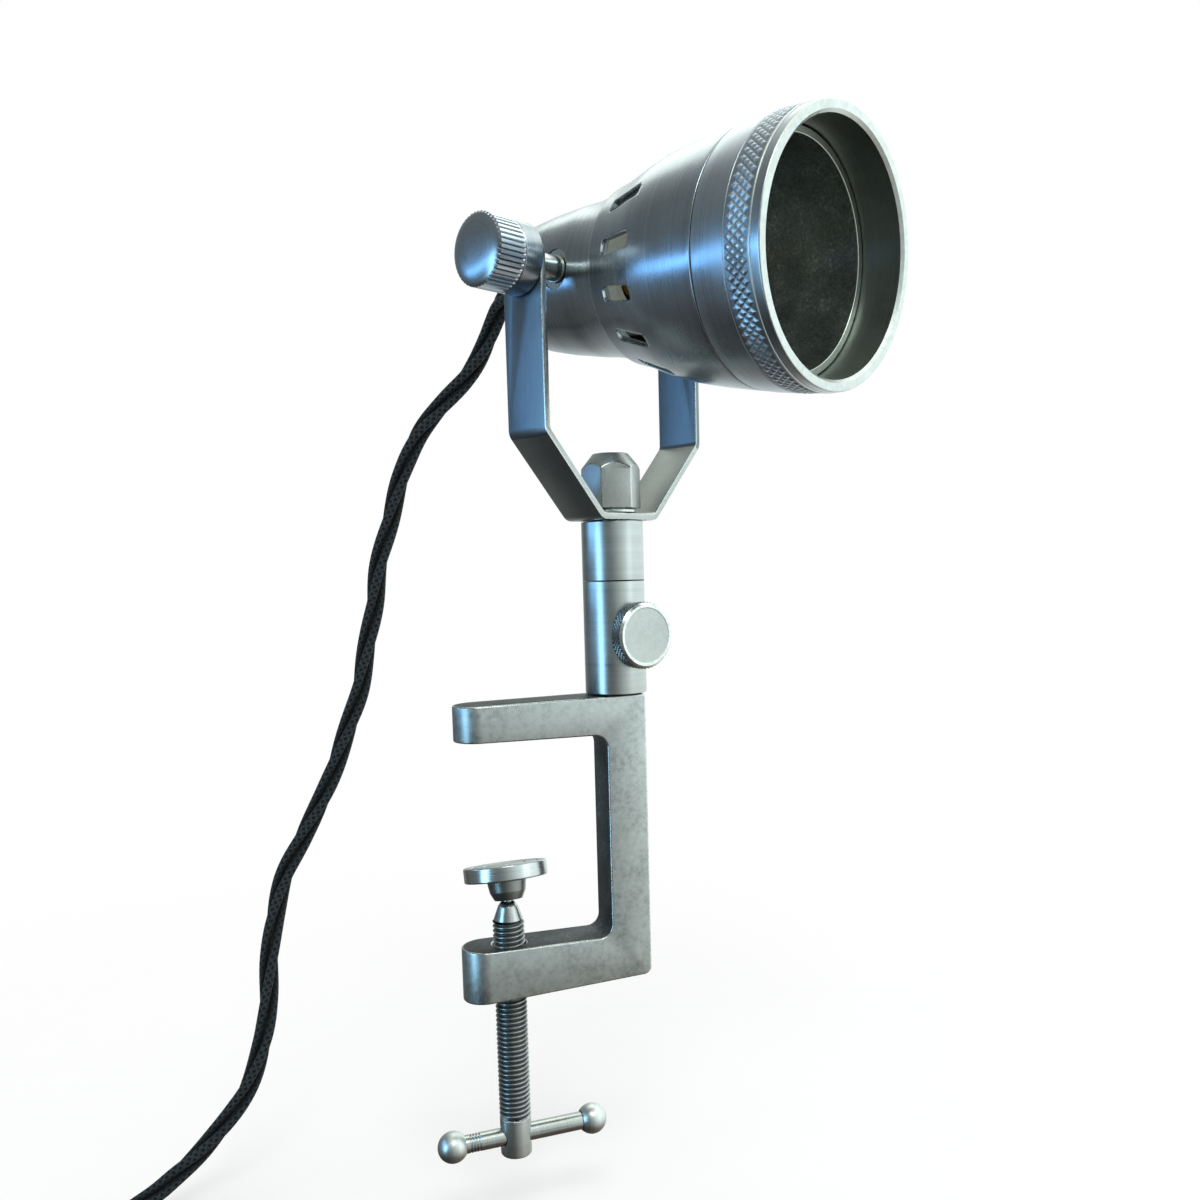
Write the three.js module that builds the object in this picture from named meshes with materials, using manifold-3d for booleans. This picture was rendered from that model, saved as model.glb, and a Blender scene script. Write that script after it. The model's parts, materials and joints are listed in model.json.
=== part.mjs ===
// A clamp desk lamp: a C clamp, a two-part post, a bent yoke and a vented bell head on a twisted cord.
// Units are millimetres and Z is up.
// The origin lies on the underside of the upper jaw, over the axis of the clamp screw.
// The jaws reach towards -X and the post stands on the frame's bar towards +X.
import * as THREE from 'three';
import { mergeVertices, toCreasedNormals } from 'three/addons/utils/BufferGeometryUtils.js';
import Module from 'manifold-3d';

const wasm = await Module();
wasm.setup();

// Clearances and facets
const gap = 0.3;
const cutOverrun = 1;
const mergeDistance = 0.0001;
const degree = Math.PI / 180;
const headSides = 42;
const cupSides = 30;
const postSides = 24;
const smallSides = 16;
const cornerSteps = 4;
const ventCornerSteps = 2;
const creaseAngle = 35 * degree;

// Clamp frame
const frameWidth = 15.2;
const jawOpening = 63.4;
const tipReach = 14.7;
const postOffset = 36.8;
const barInside = 5.6;
const barOutside = 7;
const upperRootHeight = 12;
const upperTipHeight = 10.9;
const lowerRootHeight = 13.2;
const lowerTipHeight = 16.3;
const innerCornerRadius = 4;
const outerCornerRadius = 2.5;

// Post: the lower half is a socket, the upper half turns in it
const postRadius = 9.5;
const socketLength = 34.35;
const footRadius = 4;
const footLength = 8;
const spigotRadius = 5.2;
const spigotLength = 26;
const spigotBottomRoom = 2;
const stemLength = 17.85;
const postEdge = 0.4;

// Lock screw in the side of the socket
const lockHeight = 30.3;
const lockAngle = -71.4 * degree;
const lockStemRadius = 3;
const lockGrooveRadius = 4.4;
const lockGrooveRoom = 0.5;
const lockHeadRadius = 10.1;
const lockHeadThickness = 5.2;
const lockHeadStandoff = 1.5;
const lockHeadEdge = 0.6;

// Yoke of bent strip, its washer and its cap nut
const panAngle = 29 * degree;
const stripThickness = 2;
const stripWidth = 15.6;
const yokeHalfWidth = 34.3;
const yokeFlatHalf = 11.6;
const yokeBendRise = 24.3;
const tiltRise = 71.3;
const yokeBendRadius = 3;
const studRadius = 4.7;
const washerRadius = 7.5;
const washerThickness = 1;
const nutAcrossFlats = 16;
const nutHeight = 16.7;
const nutShoulderHeight = 11.9;
const nutTopRadius = 5.4;
const nutTurn = 24.6 * degree;
const nutRoofThickness = 5;

// Head: distances along its axis run from the tilt axis, forward positive
const tiltAngle = 5.585 * degree;
const cupRear = -27;
const cupFront = 16.55;
const cupRadius = 24.2;
const cupWall = 2.2;
const cupRearWall = 2.6;
const cupSpigotLength = 4;
const cupSpigotWall = 1.6;
const cupOutlineShares = [
  [0, 0.6], [0.023, 0.686], [0.069, 0.752], [0.115, 0.785], [0.207, 0.814], [0.344, 0.851],
  [0.482, 0.876], [0.62, 0.901], [0.758, 0.917], [0.896, 0.955], [1, 1],
];
const cupInnerFirst = 3;
const bellLength = 43;
const bellRadius = 33.7;
const bellWall = 1.8;
const bellOutlineShares = [
  [0, 0.745], [0.12, 0.78], [0.259, 0.834], [0.399, 0.89], [0.538, 0.926], [0.678, 0.953], [0.817, 0.976], [1, 1],
];
const bellBoreRadius = 29.1;
const bellBoreBack = 38.5;
const noseLength = 9.35;
const bezelLength = 21.45;
const bezelRadius = 35;
const bezelBoreRadius = 31.54;
const bezelEdge = 0.5;
const bezelOutlineShares = [[0, 0.966], [0.18, 0.98], [0.46, 0.991], [0.74, 1]];
const ventCount = 14;
const ventFirst = 4.6 * degree;
const ventStart = 23;
const ventLength = 13;
const ventWidth = 4;
const ventCorner = 1.2;

// Pivots and tilt knob: distances along the tilt axis run outward from the head's middle
const pivotRadius = 2.9;
const pivotInnerEnd = 17.2;
const pivotFaceDistance = 20.6;
const pivotFaceRadius = 5.6;
const pivotFlangeRadius = 5;
const pivotFlangeThickness = 1.2;
const knobRadius = 9.8;
const knobCollarLength = 6.8;
const knobLength = 15.4;
const knobDomeRise = 2;
const knobRibs = 44;
const knobRibDepth = 0.5;
const knobEdge = 0.4;
const knobDomeShares = [[0.93, 0.28], [0.76, 0.6], [0.52, 0.84], [0.26, 0.96]];
const knobBoreDepth = 11.7;
const endNutAcrossFlats = 10;
const endNutLength = 8;
const endNutBoreDepth = 5;
const endNutTopRadius = 2.4;
const endNutShoulder = 4.6;

// Lamp holder and bulb inside the head
const holderRear = -21;
const holderFront = 14;
const holderRadius = 16;
const holderSeatLength = 6;
const holderFloor = 5;
const holderEdge = 1;
const shellWall = 1;
const shellRecess = 1.5;
const capRadius = 7;
const contactRadius = 3;
const contactLength = 2.4;
const glassNeckRadius = 6.6;
const glassRadius = 11;
const glassLength = 31.5;
const glassOutlineShares = [[0.07, 0.61], [0.2, 0.83], [0.36, 0.97], [0.52, 1], [0.7, 0.94], [0.85, 0.76], [0.95, 0.48]];

// Cord outlet in the cup's end
const glandBoreRadius = 2.2;
const glandStemRadius = 5;
const glandFlangeRadius = 7.5;
const glandFlangeThickness = 2;
const glandNoseLength = 3.7;
const glandNoseRadius = 4.6;
const glandStemLength = 5.1;
const glandNutRadius = 8;
const glandNutThickness = 2;

// Pad, swivel tip, clamp screw and cross bar
const ballDrop = 45.6;
const ballRadius = 3.2;
const neckRadius = 1.5;
const padTurn = 10.3 * degree;
const padTilt = 9.8 * degree;
const padRadius = 12.8;
const padThickness = 4.6;
const padEdge = 0.4;
const padFloorRise = 2.3;
const bowlTopRadius = 6;
const bowlMiddleRadius = 5.5;
const bowlMiddleDrop = 1.5;
const bowlEndRadius = 4.3;
const bowlDrop = 4;
const bowlMouthRadius = 2.9;
const tipConeRadius = 4.6;
const tipConeStartRadius = 2.2;
const tipConeBend = 3;
const tipConeBendDrop = 6;
const tipConeStartDrop = 4.9;
const tipConeDrop = 10.4;
const tipSpigotRadius = 2;
const tipSpigotLength = 5;
const screwRadius = 4.75;
const screwThreadLength = 62.2;
const screwEndRadius = 4.85;
const screwEndLength = 12.6;
const screwEdge = 0.5;
const crossHoleDrop = 6.7;
const barTurn = 3 * degree;
const barRadius = 2.75;
const barSlide = 2.6;
const barBallReach = 22.65;
const barBallRadius = 4.75;
const barInBall = 0.7;

// Cord, its coil and what is on it
const cordDiameter = 6.8;
const cordSides = 10;
const cordHeadEnd = 40;
const cordRunLead = 3.7;
const cordRunSteps = 42;
const cordMidSteps = 9;
const cordTailSteps = 11;
const cordRunRoute = [
  [13.9, 43.2, 139], [12.9, 47.2, 135], [11.2, 50.3, 129.5], [7.9, 52.8, 122.9], [3.2, 55, 116.3],
  [-4, 58.2, 108], [-12.6, 60.9, 97.8], [-18.5, 62.8, 84], [-23.1, 64.2, 68.8], [-27.6, 64, 53],
  [-30, 63.3, 39], [-33.8, 62.3, 22], [-36.9, 61.4, 9], [-43.3, 61, -8], [-50.1, 60.5, -24.3],
  [-57.8, 60.3, -38], [-64.2, 59.9, -50.6], [-68.2, 58, -63.5], [-70.4, 55.7, -76.8], [-71.9, 53.3, -90],
  [-74, 50.5, -102.9], [-79, 48.5, -116], [-86, 47.1, -126.4], [-94.3, 46.2, -135], [-102.8, 45.4, -141.7],
  [-110, 44.2, -147], [-120, 40.6, -150.6], [-128, 33.9, -151.6], [-133.2, 24.9, -151.6], [-135, 14.6, -151],
  [-135, 2, -148.5], [-135, -12, -145.5], [-135, -24.6, -145],
];
const cordMidRoute = [
  [-135, -85.4, -145], [-135, -93, -145.6], [-135, -100, -147.4], [-135, -106, -149.1],
  [-135, -111, -149.9], [-135, -116.8, -150.1],
];
const cordTailRoute = [
  [-76.4, -175.5, -142.5], [-64, -175.5, -142.7], [-48, -176, -145.8], [-31, -176.5, -149.6], [-12, -176.5, -150.6],
  [1, -175.7, -147.2], [11.5, -174.2, -142.3], [22, -174, -142],
];
const layDrop = 155;
const coilX = -83.5;
const coilY = -124;
const coilOuterRadius = 51.5;
const coilPitch = 7.6;
const coilTurnsPerLayer = 2.875;
const coilClimbTurns = 0.5;
const coilStart = 180 * degree;
const coilLoopSteps = 24;
const coilSides = 6;
const coilRaise = 1.5;
const tieWidth = 8;
const tieWall = 1.2;
const tieTurn = 0.75;
const tieRoom = 1;
const tieCorner = 2;
const switchX = -135;
const switchY = -55;
const switchLength = 60;
const switchWidth = 28;
const switchHeight = 20;
const switchCorner = 10;
const switchChamfer = 1.2;
const rockerHalfLength = 8.5;
const rockerHalfWidth = 4.5;
const rockerRise = 3.4;
const rockerDip = 1.9;
const rockerSideDrop = 1;
const rockerDrop = 4.5;
const rockerPivotDrop = 2.8;
const rockerPocketRoom = 1;
const rockerPocketDepth = 9;
const rockerTilt = 7 * degree;
const plugX = 22.3;
const plugY = -174;
const plugRadius = 13;
const plugReliefLength = 22;
const plugReliefStartRadius = 4.6;
const plugReliefEndRadius = 6.2;
const plugBodyLength = 34;
const plugEdge = 1.5;
const plugFaceInset = 0.6;
const bladeHeight = 6.3;
const bladeThickness = 1.5;
const bladeLength = 17;
const bladeSpacing = 12.7;
const bladeDrop = 3;
const bladeSocketDepth = 4;
const earthPinRadius = 2.4;
const earthPinLength = 20;
const earthPinRise = 8;

// Looks of the materials
const look = (color, roughness, metalness) => new THREE.MeshStandardMaterial({ color, roughness, metalness });
const satinSteel = look(0x8a9096, 0.42, 1);
const darkSteel = look(0x66717c, 0.36, 1);
const brightSteel = look(0xb4b8ba, 0.3, 1);
const ceramic = look(0xdfe3d8, 0.5, 0);
const brass = look(0xb08d4c, 0.35, 1);
const frostedGlass = look(0xf3f1ea, 0.35, 0);
const cloth = look(0x20231f, 0.9, 0);
const blackPlastic = look(0x1a1b1d, 0.45, 0);

// A solid of a closed geometry: only places are kept, and triangles without area are left out
function toSolid(geometry) {
  const bare = geometry.clone();
  bare.deleteAttribute('normal');
  bare.deleteAttribute('uv');
  const merged = mergeVertices(bare, mergeDistance);
  const corners = merged.index.array;
  const kept = [];
  for (let i = 0; i < corners.length; i += 3) {
    const [a, b, c] = [corners[i], corners[i + 1], corners[i + 2]];
    if (a !== b && b !== c && c !== a) kept.push(a, b, c);
  }
  const vertProperties = new Float32Array(merged.attributes.position.array);
  const triVerts = new Uint32Array(kept);
  return new wasm.Manifold(new wasm.Mesh({ numProp: 3, vertProperties, triVerts }));
}

function toGeometry(solid) {
  const { vertProperties, triVerts } = solid.getMesh();
  const geometry = new THREE.BufferGeometry();
  geometry.setAttribute('position', new THREE.BufferAttribute(new Float32Array(vertProperties), 3));
  geometry.setIndex(new THREE.BufferAttribute(new Uint32Array(triVerts), 1));
  return toCreasedNormals(geometry, creaseAngle);
}

const cut = (base, ...tools) => tools.reduce((rest, tool) => rest.subtract(toSolid(tool)), base);
const join = (base, ...others) => others.reduce((sum, other) => sum.add(toSolid(other)), base);
const common = (base, other) => base.intersect(toSolid(other));

// A revolved body round Z from [radius, height] places, anticlockwise, closed on the axis or on itself
function revolve(profile, sides) {
  const places = profile.map(([radius, height]) => new THREE.Vector2(radius, height));
  if (profile[0][0] > 0) places.push(places[0].clone());
  return new THREE.LatheGeometry(places, sides).rotateX(Math.PI / 2);
}

// A plain round rod along Z
function rod(radius, from, to, sides) {
  return revolve([[0, from], [radius, from], [radius, to], [0, to]], sides);
}

// Samples of a path through [x, y, radius] corners, each corner rounded by its radius
function roundedPath(corners, closed, steps = cornerSteps) {
  const samples = [];
  corners.forEach(([x, y, radius], i) => {
    const here = new THREE.Vector2(x, y);
    const last = corners[(i + corners.length - 1) % corners.length];
    const next = corners[(i + 1) % corners.length];
    const before = here.clone().sub(new THREE.Vector2(last[0], last[1])).normalize();
    const after = new THREE.Vector2(next[0], next[1]).sub(here).normalize();
    const isEnd = !closed && (i === 0 || i === corners.length - 1);
    if (isEnd || radius === 0) {
      samples.push({ point: here, direction: i === 0 ? after : before });
      return;
    }
    const turn = Math.atan2(before.cross(after), before.dot(after));
    const reach = radius * Math.tan(Math.abs(turn) / 2);
    const start = here.clone().addScaledVector(before, -reach);
    const inward = new THREE.Vector2(-before.y, before.x).multiplyScalar(Math.sign(turn) * radius);
    const centre = start.clone().add(inward);
    for (let k = 0; k <= steps; k += 1) {
      const angle = turn * k / steps;
      const point = start.clone().rotateAround(centre, angle);
      const direction = before.clone().rotateAround(new THREE.Vector2(), angle);
      samples.push({ point, direction });
    }
  });
  return samples;
}

const outline = (corners, steps) => new THREE.Shape(roundedPath(corners, true, steps).map(({ point }) => point));

// The outline of a bent strip with its middle line on the path
function stripOutline(corners, thickness) {
  const path = roundedPath(corners, false);
  const offset = ({ point, direction }, distance) => (
    new THREE.Vector2(point.x - direction.y * distance, point.y + direction.x * distance)
  );
  const left = path.map((sample) => offset(sample, thickness / 2));
  const right = path.map((sample) => offset(sample, -thickness / 2)).reverse();
  return new THREE.Shape([...left, ...right]);
}

const rectangle = (width, height, radius, steps) => outline([
  [-width / 2, -height / 2, radius], [width / 2, -height / 2, radius],
  [width / 2, height / 2, radius], [-width / 2, height / 2, radius],
], steps);

function polygon(sides, radius, turn) {
  const corners = Array.from({ length: sides }, (_, i) => {
    const angle = turn + i * 2 * Math.PI / sides;
    return new THREE.Vector2(radius * Math.cos(angle), radius * Math.sin(angle));
  });
  return new THREE.Shape(corners);
}

const extrude = (shape, depth) => new THREE.ExtrudeGeometry(shape, { depth, bevelEnabled: false });

// A plate with its outline in the XZ plane and its thickness centred on Y
const uprightPlate = (shape, depth) => extrude(shape, depth).rotateX(Math.PI / 2).translate(0, depth / 2, 0);

// Value of a table of [place, value] pairs at a place, on straight lines between them
function valueAt(table, place) {
  const after = Math.max(1, table.findIndex(([at]) => at >= place));
  const [fromPlace, fromValue] = table[after - 1];
  const [toPlace, toValue] = table[after];
  return fromValue + (toValue - fromValue) * (place - fromPlace) / (toPlace - fromPlace);
}

function addPiece(parent, name, solid, material) {
  const mesh = new THREE.Mesh(toGeometry(solid), material);
  mesh.name = name;
  parent.add(mesh);
  return mesh;
}

const lamp = new THREE.Group();

// Clamp frame: one profile, cut to half-round jaw ends seen from above
const barInnerX = postOffset - barInside;
const barOuterX = postOffset + barOutside;
const lowerJawTop = -jawOpening;
const frameProfile = outline([
  [-tipReach, 0, 0],
  [barInnerX, 0, innerCornerRadius],
  [barInnerX, lowerJawTop, innerCornerRadius],
  [-tipReach, lowerJawTop, 0],
  [-tipReach, lowerJawTop - lowerTipHeight, 0],
  [barOuterX, lowerJawTop - lowerRootHeight, outerCornerRadius],
  [barOuterX, upperRootHeight, postEdge],
  [-tipReach, upperTipHeight, 0],
]);
const halfWidth = frameWidth / 2;
const plan = outline([
  [-tipReach, -halfWidth, halfWidth], [barOuterX + cutOverrun, -halfWidth, 0],
  [barOuterX + cutOverrun, halfWidth, 0], [-tipReach, halfWidth, halfWidth],
]);
const frameBottom = lowerJawTop - lowerTipHeight - cutOverrun;
const planHeight = upperRootHeight + cutOverrun - frameBottom;
const screwBoreRadius = screwEndRadius + gap;
const footHoleDepth = footLength + gap;
const frameSolid = cut(
  common(toSolid(uprightPlate(frameProfile, frameWidth)), extrude(plan, planHeight).translate(0, 0, frameBottom)),
  rod(screwBoreRadius, frameBottom, lowerJawTop + cutOverrun, postSides),
  rod(footRadius + gap, upperRootHeight - footHoleDepth, upperRootHeight + cutOverrun, postSides)
    .translate(postOffset, 0, 0),
);
addPiece(lamp, 'clamp_frame', frameSolid, satinSteel);

// Lower post: its foot stands in the frame, and the lock screw goes through its wall
const socketBottom = upperRootHeight + gap;
const socketTop = socketBottom + socketLength;
const socketBoreRadius = spigotRadius + gap;
const stemBottom = socketTop + gap;
const socketFloor = stemBottom - spigotLength - spigotBottomRoom;
const lockHole = rod(lockStemRadius + gap, 0, postRadius + cutOverrun, smallSides)
  .rotateY(Math.PI / 2)
  .rotateZ(lockAngle)
  .translate(0, 0, lockHeight);
const socketSolid = cut(toSolid(revolve([
  [0, socketBottom - footLength],
  [footRadius, socketBottom - footLength],
  [footRadius, socketBottom],
  [postRadius, socketBottom],
  [postRadius, socketTop - postEdge],
  [postRadius - postEdge, socketTop],
  [socketBoreRadius, socketTop],
  [socketBoreRadius, socketFloor],
  [0, socketFloor],
], postSides)), lockHole);
addPiece(lamp, 'post_socket', socketSolid, satinSteel).position.x = postOffset;

// Lock screw, turned by its round head
const lockStemEnd = lockGrooveRadius + gap;
const lockHeadBack = postRadius + lockHeadStandoff;
const lockHeadFront = lockHeadBack + lockHeadThickness;
const lockScrew = addPiece(lamp, 'lock_screw', toSolid(revolve([
  [0, lockStemEnd],
  [lockStemRadius, lockStemEnd],
  [lockStemRadius, lockHeadBack],
  [lockHeadRadius - lockHeadEdge, lockHeadBack],
  [lockHeadRadius, lockHeadBack + lockHeadEdge],
  [lockHeadRadius, lockHeadFront - lockHeadEdge],
  [lockHeadRadius - lockHeadEdge, lockHeadFront],
  [0, lockHeadFront],
], postSides).rotateY(Math.PI / 2)), brightSteel);
lockScrew.position.set(postOffset, 0, lockHeight);
lockScrew.rotation.z = lockAngle;

// What swivels on the post
const pan = new THREE.Group();
pan.position.x = postOffset;
pan.rotation.z = panAngle;
lamp.add(pan);

const stemTop = stemBottom + stemLength;
const yokeUnder = stemTop + gap;
const yokeMiddle = yokeUnder + stripThickness / 2;
const washerBottom = yokeUnder + stripThickness + gap;
const nutBottom = washerBottom + washerThickness + gap;
const nutTop = nutBottom + nutHeight;
const studTop = nutTop - nutRoofThickness;
const grooveHalf = lockStemRadius + lockGrooveRoom;
addPiece(pan, 'post_stem', toSolid(revolve([
  [0, stemBottom - spigotLength],
  [spigotRadius - postEdge, stemBottom - spigotLength],
  [spigotRadius, stemBottom - spigotLength + postEdge],
  [spigotRadius, lockHeight - grooveHalf],
  [lockGrooveRadius, lockHeight - grooveHalf],
  [lockGrooveRadius, lockHeight + grooveHalf],
  [spigotRadius, lockHeight + grooveHalf],
  [spigotRadius, stemBottom],
  [postRadius - postEdge, stemBottom],
  [postRadius, stemBottom + postEdge],
  [postRadius, stemTop],
  [studRadius, stemTop],
  [studRadius, studTop],
  [0, studTop],
], postSides)), satinSteel);

// Yoke: a strip bent four times, with round arm ends on the tilt axis
const tiltHeight = yokeUnder + tiltRise;
const armMiddle = yokeHalfWidth - stripThickness / 2;
const armTop = tiltHeight + stripWidth / 2;
const bendHeight = yokeUnder + yokeBendRise;
const yokeStrip = stripOutline([
  [-armMiddle, armTop, 0],
  [-armMiddle, bendHeight, yokeBendRadius],
  [-yokeFlatHalf, yokeMiddle, yokeBendRadius],
  [yokeFlatHalf, yokeMiddle, yokeBendRadius],
  [armMiddle, bendHeight, yokeBendRadius],
  [armMiddle, armTop, 0],
], stripThickness);
const armRadius = stripWidth / 2;
const armFace = outline([
  [-armRadius, yokeUnder - cutOverrun, 0], [armRadius, yokeUnder - cutOverrun, 0],
  [armRadius, armTop, armRadius], [-armRadius, armTop, armRadius],
]);
const acrossYoke = 2 * (yokeHalfWidth + cutOverrun);
const studHoleRadius = studRadius + gap;
const pivotHoleRadius = pivotRadius + gap;
const yokeSolid = cut(
  common(
    toSolid(uprightPlate(yokeStrip, stripWidth)),
    uprightPlate(armFace, acrossYoke).rotateZ(Math.PI / 2),
  ),
  rod(studHoleRadius, yokeUnder - cutOverrun, washerBottom, postSides),
  rod(pivotHoleRadius, -acrossYoke / 2, acrossYoke / 2, postSides).rotateY(Math.PI / 2).translate(0, 0, tiltHeight),
);
addPiece(pan, 'yoke', yokeSolid, darkSteel);

addPiece(pan, 'yoke_washer', toSolid(revolve([
  [studHoleRadius, washerBottom],
  [washerRadius, washerBottom],
  [washerRadius, washerBottom + washerThickness],
  [studHoleRadius, washerBottom + washerThickness],
], postSides)), brightSteel);

// A hexagon nut whose corners run out in a cone towards its flat top, with a blind bore
function capNut(acrossFlats, bottom, shoulder, top, topRadius, boreRadius, boreEnd, turn) {
  const cornerRadius = acrossFlats / Math.sqrt(3);
  const coneRun = (top - shoulder) / (cornerRadius - topRadius);
  const cone = revolve([
    [0, bottom - cutOverrun],
    [cornerRadius + cutOverrun, bottom - cutOverrun],
    [cornerRadius + cutOverrun, shoulder - cutOverrun * coneRun],
    [topRadius, top],
    [0, top],
  ], postSides);
  const prism = extrude(polygon(6, cornerRadius, turn), top + cutOverrun - bottom).translate(0, 0, bottom);
  return cut(common(toSolid(prism), cone), rod(boreRadius, bottom - cutOverrun, boreEnd, smallSides));
}

const nutShoulder = nutBottom + nutShoulderHeight;
const nutSolid = capNut(
  nutAcrossFlats, nutBottom, nutShoulder, nutTop, nutTopRadius, studHoleRadius, studTop + gap, nutTurn,
);
addPiece(pan, 'cap_nut', nutSolid, brightSteel);

// Head, with its axis along -Y of its own group
const head = new THREE.Group();
head.position.z = tiltHeight;
head.rotation.x = tiltAngle;
pan.add(head);

const alongHead = (geometry) => geometry.rotateX(Math.PI / 2);
const towardsKnob = (geometry) => geometry.rotateY(-Math.PI / 2);
const awayFromKnob = (geometry) => geometry.rotateY(Math.PI / 2);

// Cup behind the bell, a turned shell with faces for the pivots and a spigot for the bell
const cupLength = cupFront - cupRear;
const cupOutside = cupOutlineShares.map(([along, across]) => [across * cupRadius, cupRear + along * cupLength]);
const cupInside = cupOutside
  .slice(cupInnerFirst, -1)
  .map(([radius, place]) => [radius - cupWall, place])
  .reverse();
const bellRear = cupFront + gap;
const bellRearRadius = bellOutlineShares[0][1] * bellRadius;
const bellRearBore = bellRearRadius - bellWall;
const cupSpigotRadius = bellRearBore - gap;
const cupSpigotEnd = cupFront + cupSpigotLength;
const glandHoleRadius = glandStemRadius + gap;
const cupFloor = cupRear + cupRearWall;
const cupFloorRadius = cupInside[cupInside.length - 1][0] - cupRearWall;
const cupShell = alongHead(revolve([
  [glandHoleRadius, cupRear],
  ...cupOutside,
  [cupSpigotRadius, cupFront],
  [cupSpigotRadius, cupSpigotEnd],
  [cupSpigotRadius - cupSpigotWall, cupSpigotEnd],
  ...cupInside,
  [cupFloorRadius, cupFloor],
  [glandHoleRadius, cupFloor],
], cupSides));
const pivotBore = () => rod(pivotHoleRadius, holderRadius - cutOverrun, cupRadius + cutOverrun, smallSides);
const pivotFace = () => rod(pivotFaceRadius, pivotFaceDistance, cupRadius + cutOverrun, smallSides);
const cupSolid = cut(
  toSolid(cupShell),
  towardsKnob(pivotBore()),
  towardsKnob(pivotFace()),
  awayFromKnob(pivotBore()),
  awayFromKnob(pivotFace()),
);
addPiece(head, 'neck_cup', cupSolid, darkSteel);

// Bell: an ogive shell with a row of vent slots and a nose for the bezel
const bellFront = bellRear + bellLength;
const noseFront = bellFront + noseLength;
const bellOutside = bellOutlineShares.map(([along, across]) => [across * bellRadius, bellRear + along * bellLength]);
const bellInside = bellOutside
  .slice(1)
  .filter(([, place]) => place < bellBoreBack)
  .map(([radius, place]) => [radius - bellWall, place])
  .reverse();
const noseRadius = bezelBoreRadius - gap;
const bellShell = alongHead(revolve([
  ...bellOutside,
  [noseRadius, bellFront],
  [noseRadius, noseFront],
  [bellBoreRadius, noseFront],
  [bellBoreRadius, bellBoreBack],
  ...bellInside,
  [bellRearBore, cupSpigotEnd + gap],
  [bellRearBore, bellRear],
], headSides));
const ventTool = (angle) => extrude(rectangle(ventWidth, ventLength, ventCorner, ventCornerSteps), bellRadius)
  .translate(0, -ventStart - ventLength / 2, cupSpigotWall + holderRadius)
  .rotateY(angle - Math.PI / 2);
const vents = Array.from({ length: ventCount }, (_, i) => ventTool(ventFirst + i * 2 * Math.PI / ventCount));
addPiece(head, 'bell', cut(toSolid(bellShell), ...vents), darkSteel);

// Bezel ring round the nose
const bezelRear = bellFront + gap;
const bezelFront = bezelRear + bezelLength;
const bezelOutside = bezelOutlineShares
  .map(([along, across]) => [across * bezelRadius, bezelRear + along * bezelLength]);
addPiece(head, 'bezel_ring', toSolid(alongHead(revolve([
  [bezelBoreRadius, bezelRear],
  ...bezelOutside,
  [bezelRadius, bezelFront - bezelEdge],
  [bezelRadius - bezelEdge, bezelFront],
  [bezelBoreRadius, bezelFront],
], headSides))), darkSteel);

// Pivot pins with a flange on the cup's face
const pivotFlangeStart = pivotFaceDistance + gap;
const pivotFlangeEnd = pivotFlangeStart + pivotFlangeThickness;
const pivotPin = (end) => revolve([
  [0, pivotInnerEnd],
  [pivotRadius, pivotInnerEnd],
  [pivotRadius, pivotFlangeStart],
  [pivotFlangeRadius, pivotFlangeStart],
  [pivotFlangeRadius, pivotFlangeEnd],
  [pivotRadius, pivotFlangeEnd],
  [pivotRadius, end],
  [0, end],
], smallSides);
const armOutside = yokeHalfWidth + gap;
const knobBoreEnd = armOutside + knobBoreDepth;
const endNutBoreEnd = armOutside + endNutBoreDepth;
addPiece(head, 'pivot_stud_left', toSolid(towardsKnob(pivotPin(knobBoreEnd - gap))), brightSteel);
addPiece(head, 'pivot_stud_right', toSolid(awayFromKnob(pivotPin(endNutBoreEnd - gap))), brightSteel);

// Tilt knob: a smooth collar, a straight-ribbed grip and a low dome
const knobCollarEnd = armOutside + knobCollarLength;
const knobEnd = armOutside + knobLength;
const knobDome = knobDomeShares.map(([across, rise]) => [across * knobRadius, knobEnd + rise * knobDomeRise]);
const knobBody = revolve([
  [pivotHoleRadius, armOutside],
  [knobRadius - knobEdge, armOutside],
  [knobRadius, armOutside + knobEdge],
  [knobRadius, knobEnd],
  ...knobDome,
  [0, knobEnd + knobDomeRise],
  [0, knobBoreEnd],
  [pivotHoleRadius, knobBoreEnd],
], knobRibs);
const ribStep = 2 * Math.PI / knobRibs;
const ribCrest = knobRadius + gap;
const ribValley = knobRadius - knobRibDepth;
const ribPlaces = [[-0.22, ribCrest], [0.22, ribCrest], [0.5, ribValley]];
const ribCorners = Array.from({ length: knobRibs }, (_, i) => ribPlaces.map(([share, radius]) => {
  const angle = (i + share) * ribStep;
  return new THREE.Vector2(radius * Math.cos(angle), radius * Math.sin(angle));
})).flat();
const ribbed = extrude(new THREE.Shape(ribCorners), knobLength).translate(0, 0, knobCollarEnd);
const collarKeep = rod(ribCrest + cutOverrun, armOutside - cutOverrun, knobCollarEnd, smallSides);
const knobSolid = toSolid(knobBody).intersect(join(toSolid(ribbed), collarKeep));
const knob = addPiece(head, 'tilt_knob', knobSolid, brightSteel);
knob.rotation.y = -Math.PI / 2;

const endNutSolid = capNut(
  endNutAcrossFlats, armOutside, armOutside + endNutShoulder, armOutside + endNutLength, endNutTopRadius,
  pivotHoleRadius, endNutBoreEnd, 0,
);
addPiece(head, 'pivot_cap_nut', endNutSolid, brightSteel).rotation.y = Math.PI / 2;

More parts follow.
